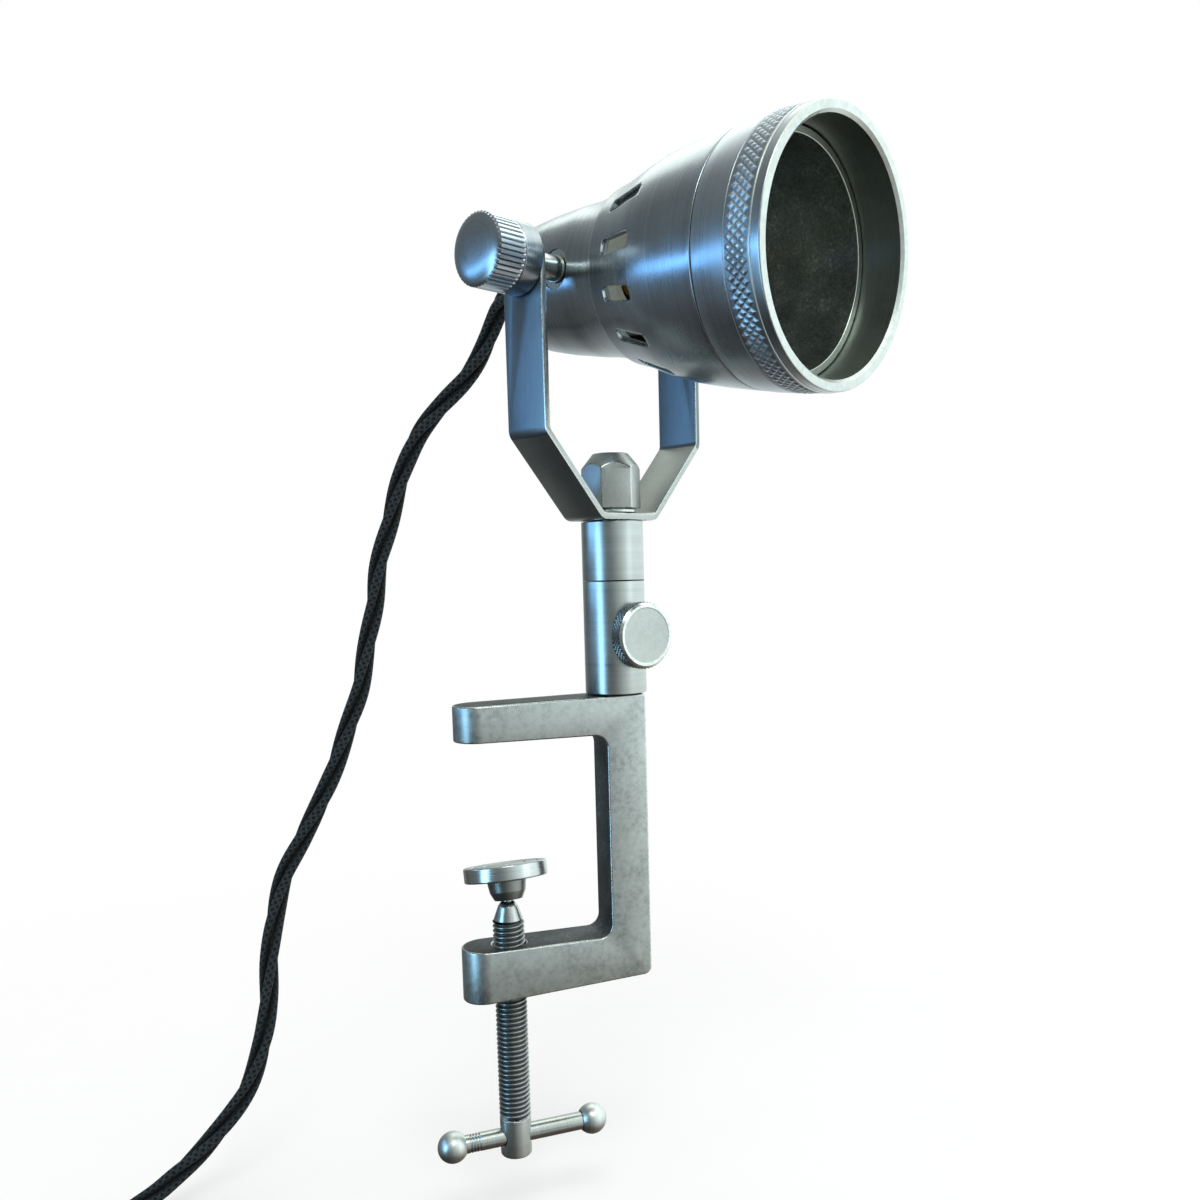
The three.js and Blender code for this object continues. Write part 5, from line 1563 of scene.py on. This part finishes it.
class DESKLAMP_OT_bulb(bpy.types.Operator):
    """Turns the lamp holder, its shell and the frosted bulb"""

    bl_idname = "desklamp.bulb"
    bl_label = "Holder and bulb"

    def execute(self, context):
        front, back, floor = HOLDER_FRONT, HOLDER_REAR, HOLDER_FLOOR
        step, groove = back + HOLDER_SEAT_LENGTH, front - HOLDER_GROOVE_DEPTH
        holder = turned((
            (0, back), (HOLDER_SEAT_RADIUS, back, 0.5), (HOLDER_SEAT_RADIUS, step, SOFT_EDGE),
            (HOLDER_RADIUS, step + HOLDER_SEAT_SLOPE, SOFT_EDGE), (HOLDER_RADIUS, front, 1),
            (HOLDER_GROOVE_OUTER, front, SOFT_EDGE),
            (HOLDER_GROOVE_OUTER - HOLDER_GROOVE_SLOPE, groove, SOFT_EDGE),
            (HOLDER_GROOVE_INNER + HOLDER_GROOVE_SLOPE, groove, SOFT_EDGE),
            (HOLDER_GROOVE_INNER, front, SOFT_EDGE),
            (HOLDER_BORE, front, SOFT_EDGE), (HOLDER_BORE, floor), (0, floor),
        ))
        finished(holder, fired_ceramic("pale_ceramic", CERAMIC))
        settled(holder, "holder_body", "lamp_holder", ALONG_HEAD)
        shell = turned((
            (SHELL_INNER, floor + CLEARANCE), (SHELL_OUTER, floor + CLEARANCE, FINE_EDGE),
            (SHELL_OUTER, front - SHELL_INSET, EDGE), (SHELL_INNER, front - SHELL_INSET, EDGE),
            *self.waves(*SHELL_WAVES),
        ), SMALL_SIDES, ring=True)
        brass = turned_steel("shell_brass", ALONG_HEAD, SHELL_BRASS, 0.26)
        finished(shell, brass)
        settled(shell, "holder_sleeve", "holder_shell", ALONG_HEAD)
        cap = turned((
            *CAP_OUTLINE, *self.waves(*CAP_WAVES), (CAP_RADIUS, front - SHELL_INSET, EDGE),
            (CAP_RADIUS, front + CLEARANCE, EDGE), (0, front + CLEARANCE),
        ), SMALL_SIDES)
        finished(cap, brass)
        settled(cap, "bulb_screw_cap", "bulb_cap", ALONG_HEAD)
        outline = [(share * GLASS_RADIUS, GLASS_START + at * GLASS_LENGTH) for at, share in GLASS_OUTLINE]
        outline = [(GLASS_NECK, GLASS_START), *outline, (0, GLASS_START + GLASS_LENGTH)]
        glass = turned(((0, GLASS_START), *fair(outline, 1)))
        finished(glass, frosted_glass("frosted_white", FROSTED_WHITE))
        settled(glass, "bulb_globe", "bulb_glass", ALONG_HEAD)
        return {"FINISHED"}

    def waves(self, radius, start, step, count):
        """Outline places of a rolled thread."""
        waves = (WAVE_DEPTH * math.cos(2 * math.pi * i / WAVE_STEPS) for i in range(count))
        return [(radius + wave, start + i * step) for i, wave in enumerate(waves)]


class DESKLAMP_OT_gland(bpy.types.Operator):
    """Turns the cord's outlet and makes its nut"""

    bl_idname = "desklamp.gland"
    bl_label = "Cord outlet"

    def execute(self, context):
        gland = turned((
            (GLAND_BORE, GLAND_BACK, EDGE), (GLAND_NOSE, GLAND_BACK, 0.5), (5.5, GLAND_STEP, SOFT_EDGE),
            (GLAND_FLANGE, GLAND_STEP, 0.6), (GLAND_FLANGE, GLAND_SEAT, FINE_EDGE), (GLAND_STEM, GLAND_SEAT),
            (GLAND_STEM, GLAND_FRONT, EDGE), (GLAND_BORE, GLAND_FRONT),
        ), SMALL_SIDES, ring=True)
        finished(gland, turned_steel("gland_steel", ALONG_HEAD, shade(colour_of("bell"), 0.9), 0.32))
        settled(gland, "gland_body", "cord_gland", ALONG_HEAD)
        nut = hexagon(GLAND_NUT_ACROSS, GLAND_NUT_BACK, GLAND_NUT_FRONT)
        cut(nut, rod(GLAND_STEM + CLEARANCE, GLAND_NUT_BACK - 2, GLAND_NUT_FRONT + 2))
        finished(nut, brushed_steel("gland_nut_steel", ALONG_HEAD, colour_of("bright"), BRUSHED_NUT))
        bevelled(nut, 0.2, angle=30)
        settled(nut, "gland_hex_nut", "gland_nut", ALONG_HEAD)
        return {"FINISHED"}


class DESKLAMP_OT_pad(bpy.types.Operator):
    """Turns the clamping pad with its ball socket, and the coned tip with its ball"""

    bl_idname = "desklamp.pad"
    bl_label = "Pad and tip"

    def execute(self, context):
        bright = colour_of("bright")
        mouth = math.degrees(math.asin(PAD_MOUTH / PAD_SOCKET))
        pad = turned((
            (0, PAD_SOCKET), *ball_places(PAD_SOCKET, 180, mouth)[1:], (PAD_MOUTH, BOWL_END),
            (BOWL_END_RADIUS, BOWL_END, SOFT_EDGE), (BOWL_MIDDLE_RADIUS, BOWL_MIDDLE, 1.2),
            (BOWL_TOP_RADIUS, PAD_FLOOR - 0.6, SOFT_EDGE), (BOWL_TOP_RADIUS + 0.6, PAD_FLOOR, EDGE),
            (PAD_RADIUS, PAD_FLOOR, 0.5), (PAD_RADIUS, PAD_TOP, 0.5),
            *repeated(PAD_RING, 2, growth=PAD_RING_GROWTH), (0, PAD_TOP),
        ))
        finished(
            pad, turned_steel("pad_rim", PAD, bright, 0.26),
            turned_steel("pad_bowl", PAD, shade(bright, 0.45), 0.34),
            turned_steel("pad_face", PAD, shade(bright, 0.75), 0.36),
        )
        painted(pad, 1, lambda place, normal: place.z < PAD_FLOOR - 0.1)
        painted(pad, 2, lambda place, normal: normal.z > 0.8 and place.z > PAD_FLOOR)
        settled(pad, "pad_disc", "pad", PAD)
        root, neck = TIP_BOTTOM - TIP_ROOT_LENGTH, math.degrees(math.asin(TIP_NECK / BALL_RADIUS))
        tip = turned((
            (0, root), (TIP_ROOT, root, EDGE), (TIP_ROOT, TIP_BOTTOM), (TIP_CONE, TIP_BOTTOM, EDGE),
            (3, -6, 0.6), (2.2, -4.9), (TIP_NECK, -4.5), *ball_places(BALL_RADIUS, neck, 180),
        ), SMALL_SIDES)
        finished(tip, turned_steel("tip_steel", TIP, shade(bright, 0.85), 0.28))
        settled(tip, "swivel_cone", "swivel_tip", TIP)
        return {"FINISHED"}


class DESKLAMP_OT_clamp_screw(bpy.types.Operator):
    """Winds the clamp screw's thread from one groove, and turns its plain end with the cross hole"""

    bl_idname = "desklamp.clamp_screw"
    bl_label = "Clamp screw"

    def execute(self, context):
        thread, colour = self.thread(), colour_of("clamp")
        plain = turned((
            (0, SCREW_END), (SCREW_END_RADIUS, SCREW_END, 0.6),
            (SCREW_END_RADIUS, SCREW_SHOULDER - 0.6, FINE_EDGE), (SCREW_ROOT, SCREW_SHOULDER),
            (SCREW_ROOT - 0.2, SCREW_SHOULDER + 0.4), (0, SCREW_SHOULDER + 0.4),
        ), SMALL_SIDES)
        cross = rod(BAR_BORE, -SCREW_END_RADIUS - 1, SCREW_END_RADIUS + 1)
        cut(plain, cross, shift(0, 0, CROSS_HEIGHT) @ turn("Z", BAR_TURN) @ turn("Y", 90))
        finished(
            thread, knurl_steel("thread_steel", UPRIGHT, shade(colour, 0.8), SCREW_ROOT + 0.4, SCREW_CREST),
            turned_steel("screw_steel", UPRIGHT, shade(colour, 1.1)),
            worn_steel_painted_highlight("screw_edge", colour_of("bright")),
        )
        finished(plain, *thread.data.materials)
        painted(plain, 1, lambda place, normal: True)
        # Bevels take the bright finish: wear and a painted highlight
        bevelled(plain, 0.2, angle=50, finish=2)
        settled(merged([thread, plain]), "clamp_screw_thread", "clamp_screw", angle=28)
        return {"FINISHED"}

    def thread(self):
        """Winds one groove up the screw, cuts both ends flat and cones the upper one."""
        rise = THREAD_PITCH / 2
        groove = eased((
            (SCREW_ROOT, -rise), (SCREW_ROOT, -rise * GROOVE_FOOT, FINE_EDGE),
            (SCREW_CREST, -rise * GROOVE_CREST, THREAD_EASE), (SCREW_CREST, rise * GROOVE_CREST, THREAD_EASE),
            (SCREW_ROOT, rise * GROOVE_FOOT, FINE_EDGE), (SCREW_ROOT, rise),
        ), steps=2)
        chain([(radius, SCREW_SHOULDER - THREAD_PITCH + height) for radius, height in groove])
        bpy.ops.object.mode_set(mode="OBJECT")
        thread = bpy.context.object
        bpy.ops.object.modifier_add(type="SCREW")
        wind = thread.modifiers[-1]
        wind.axis, wind.angle, wind.screw_offset = "Z", 2 * math.pi, THREAD_PITCH * MM
        wind.iterations = math.ceil((SCREW_TOP - SCREW_SHOULDER) / THREAD_PITCH) + 3
        wind.steps = wind.render_steps = THREAD_STEPS
        wind.use_merge_vertices = False
        bpy.ops.object.modifier_apply(modifier=wind.name)
        bpy.ops.object.mode_set(mode="EDIT")
        bpy.ops.mesh.select_all(action="SELECT")
        bpy.ops.mesh.remove_doubles(threshold=MERGE_DISTANCE * MM)
        for height, up in ((SCREW_SHOULDER - 0.2, False), (SCREW_TOP, True)):
            bpy.ops.mesh.select_all(action="SELECT")
            bpy.ops.mesh.bisect(
                plane_co=(0, 0, height * MM), plane_no=(0, 0, 1), use_fill=True,
                clear_outer=up, clear_inner=not up,
            )
        closed_up()
        past = (SCREW_CREST + SCREW_ROOT) / 2 + 1
        cone = turned((
            (0, SCREW_SHOULDER - 1), (past, SCREW_SHOULDER - 1), (past, SCREW_TOP - 0.9),
            (SCREW_ROOT, SCREW_TOP), (0, SCREW_TOP),
        ), SMALL_SIDES)
        combined(thread, cone, "INTERSECT")
        return cut(thread, rod(TIP_ROOT + CLEARANCE, SCREW_TOP - TIP_ROOT_LENGTH, SCREW_TOP + 1))


class DESKLAMP_OT_cross_bar(bpy.types.Operator):
    """Turns the sliding cross bar and its two end balls"""

    bl_idname = "desklamp.cross_bar"
    bl_label = "Cross bar"

    def execute(self, context):
        bright = colour_of("bright")
        end = BAR_REACH + 0.7
        bar = turned((
            (0, -end), (BAR_RADIUS, -end, SOFT_EDGE), *repeated(BAR_RING, BAR_RING_COUNT, BAR_RING_STEP),
            (BAR_RADIUS, 12), (BAR_RADIUS, end, SOFT_EDGE), (0, end),
        ), SMALL_SIDES)
        finished(bar, turned_steel("bar_steel", CROSS_BAR, shade(bright, 0.8), 0.26))
        settled(bar, "cross_bar_rod", "tommy_bar", CROSS_BAR)
        round_places = ball_places(BAR_BALL, math.degrees(math.asin(BAR_BORE / BAR_BALL)), 180, 24)
        ball = turned((*round_places, (0, 1), (BAR_BORE, 1), round_places[0]), SMALL_SIDES)
        finished(ball, turned_steel("ball_steel", CROSS_BAR, shade(bright, 1.1), 0.4, 0.04))
        left, right = shift(0, 0, -BAR_REACH) @ turn("X", 180), shift(0, 0, BAR_REACH)
        for side, place in (("left", left), ("right", right)):
            name, node = "cross_bar_ball_" + side, "tommy_ball_" + side
            settled(copied(ball, place), name, node, CROSS_BAR)
        only(ball)
        bpy.ops.object.delete()
        return {"FINISHED"}


class DESKLAMP_OT_tie(bpy.types.Operator):
    """Cuts the strap that holds the coil together, with its end laid over"""

    bl_idname = "desklamp.tie"
    bl_label = "Coil tie"

    def execute(self, context):
        span, rise = TIE_OUTER - TIE_INNER, TIE_RISE
        strap = box(span + 2 * TIE_WALL, rise + 2 * TIE_WALL, TIE_CORNER, TIE_WIDTH)
        bevelled(cut(strap, box(span, rise, TIE_INNER_CORNER, TIE_WIDTH + 2 * CUT_OVERRUN)), 0.35)
        flap = box(TIE_FLAP_LENGTH, TIE_FLAP_THICKNESS, TIE_FLAP_CORNER, TIE_WIDTH)
        moved(bevelled(flap, 0.3, angle=60), shift(TIE_FLAP_ASIDE, 0, rise / 2 + TIE_WALL + CLEARANCE))
        strap = merged([strap, flap])
        finished(strap, moulded_plastic("strap_black", 0.6))
        across, along = COIL_CENTRE
        place = shift(across, along + (TIE_INNER + TIE_OUTER) / 2, TIE_LOW + rise / 2) @ turn("Z", 90)
        settled(strap, "coil_strap", "coil_tie", place)
        return {"FINISHED"}


class DESKLAMP_OT_switch(bpy.types.Operator):
    """Models the in-line switch: two rounded halves, a rocker in a pocket, and a sleeve at each end"""

    bl_idname = "desklamp.switch"
    bl_label = "Switch"

    def execute(self, context):
        plastic, lying = moulded_plastic("switch_black"), turn("X", 90)
        for half_name, low in (("base", 0), ("cover", SWITCH_HEIGHT - SWITCH_HALF)):
            half = moved(
                box(SWITCH_WIDTH, SWITCH_LENGTH, SWITCH_CORNER, SWITCH_HALF, steps=12),
                shift(0, 0, low + SWITCH_HALF / 2) @ lying,
            )
            if half_name == "cover":
                pocket = box(POCKET_WIDTH, POCKET_LENGTH, POCKET_CORNER, POCKET_DEPTH + CUT_OVERRUN)
                cut(half, pocket, shift(0, 0, SWITCH_HEIGHT + (CUT_OVERRUN - POCKET_DEPTH) / 2) @ lying)
                recess = box(RECESS_WIDTH, RECESS_LENGTH, RECESS_CORNER, 2 * CUT_OVERRUN)
                cut(half, recess, shift(0, 0, SWITCH_HEIGHT + CUT_OVERRUN - RECESS_DEPTH) @ lying)
            bevelled(half, 0.5, 3)
            finished(half, plastic)
            node = "switch_lower" if half_name == "base" else "switch_upper"
            settled(half, "switch_" + half_name, node, SWITCH)
        rocker = bevelled(plate(ROCKER_OUTLINE, ROCKER_WIDTH), 0.5, 3)
        finished(rocker, moulded_plastic("rocker_black", 0.3, lighter=1.4))
        place = SWITCH @ shift(0, 0, ROCKER_HEIGHT) @ turn("X", ROCKER_TILT) @ turn("Z", 90)
        settled(rocker, "switch_rocker_cap", "switch_rocker", place)
        line, _ = cord_line()
        across, along, _ = SWITCH_PLACE
        ends = []
        for side in (-1, 1):
            start = (across, along + side * RELIEF_START, SWITCH_CORD_HEIGHT)
            ends.append(sleeve(line, start, -side * RELIEF_LENGTH, thick=5.6, thin=3.9, ridges=5))
        reliefs = finished(merged(ends), moulded_plastic("relief_black", 0.5))
        smoothed(reliefs, "switch_sleeves")
        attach(reliefs, frame["nodes"]["switch_lower"]["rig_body"])
        return {"FINISHED"}


class DESKLAMP_OT_plug(bpy.types.Operator):
    """Turns the plug with its ridged sleeve, and cuts its blades and earth pin"""

    bl_idname = "desklamp.plug"
    bl_label = "Plug"

    def execute(self, context):
        ridges = repeated(PLUG_RIDGE, PLUG_RIDGE_COUNT, PLUG_RIDGE_STEP, PLUG_RIDGE_GROWTH)
        grips = repeated(PLUG_GRIP, PLUG_GRIP_COUNT, PLUG_GRIP_STEP)
        body = turned((
            (0, 0), (PLUG_NECK, 0, SOFT_EDGE), *ridges, *PLUG_SHOULDER, *grips,
            (PLUG_RADIUS, PLUG_FACE, 0.7), (0, PLUG_FACE),
        ), 96)
        low, high, past, blades = PLUG_BLADE_START, PLUG_BLADE_END, PLUG_FACE + 4, []
        for side in (-1, 1):
            blade = plate((
                (BLADE_NEAR, low), (BLADE_FAR, low), (BLADE_FAR, high, BLADE_CORNER),
                (BLADE_NEAR, high, BLADE_CORNER),
            ), BLADE_THICKNESS)
            hole = rod(BLADE_HOLE, -2 * CUT_OVERRUN, 2 * CUT_OVERRUN, 32)
            middle = (BLADE_NEAR + BLADE_FAR) / 2
            cut(blade, hole, shift(middle, 0, high - BLADE_HOLE_FROM_END) @ turn("X", 90))
            aside = shift(0, side * BLADE_ASIDE, 0)
            blades.append(moved(bevelled(blade, 0.2), aside))
            near, far, floor = BLADE_NEAR - CLEARANCE, BLADE_FAR + CLEARANCE, PLUG_SLOT_FLOOR
            slot = plate(
                ((near, floor), (far, floor), (far, past), (near, past)), BLADE_THICKNESS + 2 * CLEARANCE,
            )
            cut(body, slot, aside)
        cut(body, rod(PLUG_PIN_RADIUS + CLEARANCE, PLUG_HOLE_FLOOR, past), EARTH_ASIDE)
        finished(body, moulded_plastic("plug_black"))
        settled(body, "plug_shell", "plug_body", PLUG)
        brass = turned_steel("blade_brass", PLUG, BLADE_BRASS, 0.25, 0.1)
        for blade, side in zip(blades, ("left", "right"), strict=True):
            finished(blade, brass)
            settled(blade, "plug_contact_" + side, "plug_blade_" + side, PLUG)
        pin = turned((
            (0, low), (PLUG_PIN_RADIUS, low), (PLUG_PIN_RADIUS, PLUG_PIN_END - 0.6, 1.8), (0, PLUG_PIN_END),
        ), SMALL_SIDES)
        finished(pin, brass)
        settled(pin, "plug_contact_earth", "plug_earth_pin", PLUG @ EARTH_ASIDE)
        return {"FINISHED"}


class DESKLAMP_OT_cord(bpy.types.Operator):
    """Lays the twisted cord from the gland through the switch and the coil to the plug"""

    bl_idname = "desklamp.cord"
    bl_label = "Cord"

    def execute(self, context):
        line, length = cord_line()
        size = sizes()
        verts, faces, marks = twisted_strands(line, size.strand_pitch / MM, size.strand_count)
        flex = meshed("flex", verts, faces)
        mesh = flex.data
        sleeve_map = mesh.uv_layers.new(name="sleeve")
        for face, corners in zip(mesh.polygons, marks, strict=True):
            for loop, (along, around) in zip(face.loop_indices, corners, strict=True):
                sleeve_map.data[loop].uv = (along, around)
        bpy.ops.object.shade_smooth()
        mesh.materials.append(braided_cloth("black_green_braid", colour_of("cloth")))
        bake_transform(flex)
        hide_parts("cord_head", "cord_run", "cord_mid", "cord_coil", "cord_tail")
        return {"FINISHED"}


def seen_rays(owner):
    """One for rays from the camera, from shiny faces and through glass, and zero for others."""
    rays = add(owner, "LightPath").outputs
    seen = maths(owner, "MAXIMUM", rays["Is Camera Ray"], rays["Is Glossy Ray"])
    return maths(owner, "MAXIMUM", seen, rays["Is Transmission Ray"])


class DESKLAMP_OT_stage(bpy.types.Operator):
    """Sets the camera, the pale floor, the lamps and the world"""

    bl_idname = "desklamp.stage"
    bl_label = "Stage"

    def execute(self, context):
        nothing_selected()
        looking = turn("Z", -CAMERA_YAW) @ turn("X", 90 - CAMERA_PITCH) @ turn("Z", CAMERA_ROLL)
        bpy.ops.object.camera_add(location=Vector(CAMERA_PLACE) * MM, rotation=looking.to_euler())
        camera = context.object
        camera.name = "photo_camera"
        camera.data.sensor_width, camera.data.lens = 36, CAMERA_LENS
        camera.data.shift_x, camera.data.shift_y = CAMERA_SHIFT
        camera.data.clip_start, camera.data.clip_end = 0.01, 30
        context.scene.camera = camera
        self.floor()
        self.world(context)
        self.lamps(context.scene.desklamp_light)
        self.room()
        context.scene.view_settings.view_transform = "Standard"
        return {"FINISHED"}

    def floor(self):
        """A wide pale floor that goes over to white far from the lamp."""
        bpy.ops.mesh.primitive_plane_add(size=FLOOR_SIZE * MM, location=(0, 0, FLOOR_LEVEL * MM))
        bpy.ops.object.transform_apply(location=True)
        floor = bpy.context.object
        floor.name = "studio_floor"
        floor.visible_glossy = False
        finish, shader = new_finish("pale_floor", Roughness=0.9)
        own = own_place(finish)
        clouds = noise(finish, own, FLOOR_CLOUDS, 3)
        to_shader(finish, shader, toned(finish, clouds, colour_of("floor"), (0.3, 0.995), (0.7, 1)))
        away = add(finish, "VectorMath", {0: own}, operation="LENGTH").outputs["Value"]
        far = ranged(finish, away, *FLOOR_FADE, kind="SMOOTHSTEP")
        white = add(finish, "Emission", {"Color": WHITE, "Strength": 1})
        share = maths(finish, "MULTIPLY", seen_rays(finish), far)
        both = add(finish, "MixShader", {0: share, 1: shader.outputs[0], 2: white.outputs[0]})
        to_surface(finish, both.outputs[0])
        floor.data.materials.append(finish)

    def world(self, context):
        """Even light from all round, seen as white."""
        world = bpy.data.worlds.new("studio")
        world.use_nodes = True
        context.scene.world = world
        strength = ranged(world, seen_rays(world), 0, 1, least=context.scene.desklamp_light.world)
        backdrop = world.node_tree.nodes["Background"]
        backdrop.inputs["Color"].default_value = WHITE
        world.node_tree.links.new(strength, backdrop.inputs["Strength"])

    def lamps(self, light):
        """Soft lamps. The blue ones only make highlights."""
        for name, power, place, aim, size, colour in (
            ("key_lamp", light.key, (-40, -560, 690), (60, -30, 100), (420, 260), (0.94, 1, 0.95)),
            ("back_lamp", light.back, (94, 513, 716), (45, -50, 140), (460, 300), (0.94, 1, 0.9)),
            ("fill_lamp", light.fill, (560, -520, 60), (20, 0, 0), (250, 300), (0.92, 1, 1)),
            ("window_lamp", light.window, (-503, 61, 140), (45, -55, 125), (400, 55), (0.2, 0.52, 1)),
            ("strip_lamp", light.strip, (-530, -200, -20), (0, 0, -20), (200, 420), (0.35, 0.7, 1)),
        ):
            facing = (Vector(aim) - Vector(place)).to_track_quat("-Z", "Y").to_euler()
            bpy.ops.object.light_add(type="AREA", location=Vector(place) * MM, rotation=facing)
            lamp = bpy.context.object
            lamp.name = name
            lamp.data.shape, lamp.data.energy, lamp.data.color = "RECTANGLE", power, colour
            lamp.data.size, lamp.data.size_y = size[0] * MM, size[1] * MM
            lamp.visible_camera = False
            lamp.visible_diffuse = name not in ("window_lamp", "strip_lamp")

    def room(self):
        """A dim room that only shiny pieces reflect: dark below and in front, pale above."""
        edge = ROOM_RADIUS * MM
        bpy.ops.mesh.primitive_uv_sphere_add(segments=48, ring_count=24, radius=edge)
        finish, _ = new_finish("dim_room")
        own = own_place(finish)
        parts = add(finish, "SeparateXYZ", {"Vector": own}).outputs
        clouds = maths(finish, "SUBTRACT", noise(finish, own, ROOM_CLOUDS), 0.5)
        rise = summed(finish, (parts["Z"], 0.5 / edge), 0.5, (clouds, 0.35))
        paint = ramp(finish, rise, *ROOM_COLOURS)
        strength = ranged(finish, parts["X"], -0.6 * edge, edge, 0.32, 2.5, "SMOOTHSTEP")
        to_surface(finish, add(finish, "Emission", {"Color": paint, "Strength": strength}).outputs[0])
        room = bpy.context.object
        room.name = "reflected_room"
        room.data.materials.append(finish)
        room.visible_camera = room.visible_diffuse = room.visible_shadow = room.visible_transmission = False


class DESKLAMP_PT_panel(bpy.types.Panel):
    """Lists the pieces and their settings"""

    bl_idname = "DESKLAMP_PT_panel"
    bl_label = "Clamp desk lamp"
    bl_space_type = "VIEW_3D"
    bl_region_type = "UI"
    bl_category = "Lamp"

    def draw(self, context):
        scene = context.scene
        for group in (scene.desklamp_sizes, scene.desklamp_colours, scene.desklamp_light):
            for name in group.bl_rna.properties.keys():
                if name not in ("name", "rna_type"):
                    self.layout.prop(group, name)
        for maker in OPERATORS:
            self.layout.operator(maker.bl_idname)


OPERATORS = (
    DESKLAMP_OT_clamp, DESKLAMP_OT_post, DESKLAMP_OT_lock_screw, DESKLAMP_OT_yoke, DESKLAMP_OT_head,
    DESKLAMP_OT_bezel, DESKLAMP_OT_pivots, DESKLAMP_OT_bulb, DESKLAMP_OT_gland, DESKLAMP_OT_pad,
    DESKLAMP_OT_clamp_screw, DESKLAMP_OT_cross_bar, DESKLAMP_OT_tie, DESKLAMP_OT_switch, DESKLAMP_OT_plug,
    DESKLAMP_OT_cord, DESKLAMP_OT_stage,
)
CLASSES = (DesklampSizes, DesklampColours, DesklampLight, *OPERATORS, DESKLAMP_PT_panel)


def register():
    """Registers the classes and the settings."""
    for kind in CLASSES:
        bpy.utils.register_class(kind)
    bpy.types.Scene.desklamp_sizes = bpy.props.PointerProperty(type=DesklampSizes)
    bpy.types.Scene.desklamp_colours = bpy.props.PointerProperty(type=DesklampColours)
    bpy.types.Scene.desklamp_light = bpy.props.PointerProperty(type=DesklampLight)


def unregister():
    """Takes the settings and the classes away."""
    del bpy.types.Scene.desklamp_light
    del bpy.types.Scene.desklamp_colours
    del bpy.types.Scene.desklamp_sizes
    for kind in reversed(CLASSES):
        bpy.utils.unregister_class(kind)


def main():
    """Makes every piece in turn."""
    register()
    bpy.ops.desklamp.clamp()
    bpy.ops.desklamp.post()
    bpy.ops.desklamp.lock_screw()
    bpy.ops.desklamp.yoke()
    bpy.ops.desklamp.head()
    bpy.ops.desklamp.bezel()
    bpy.ops.desklamp.pivots()
    bpy.ops.desklamp.bulb()
    bpy.ops.desklamp.gland()
    bpy.ops.desklamp.pad()
    bpy.ops.desklamp.clamp_screw()
    bpy.ops.desklamp.cross_bar()
    bpy.ops.desklamp.tie()
    bpy.ops.desklamp.switch()
    bpy.ops.desklamp.plug()
    bpy.ops.desklamp.cord()
    bpy.ops.desklamp.stage()


if __name__ == "__main__":
    main()
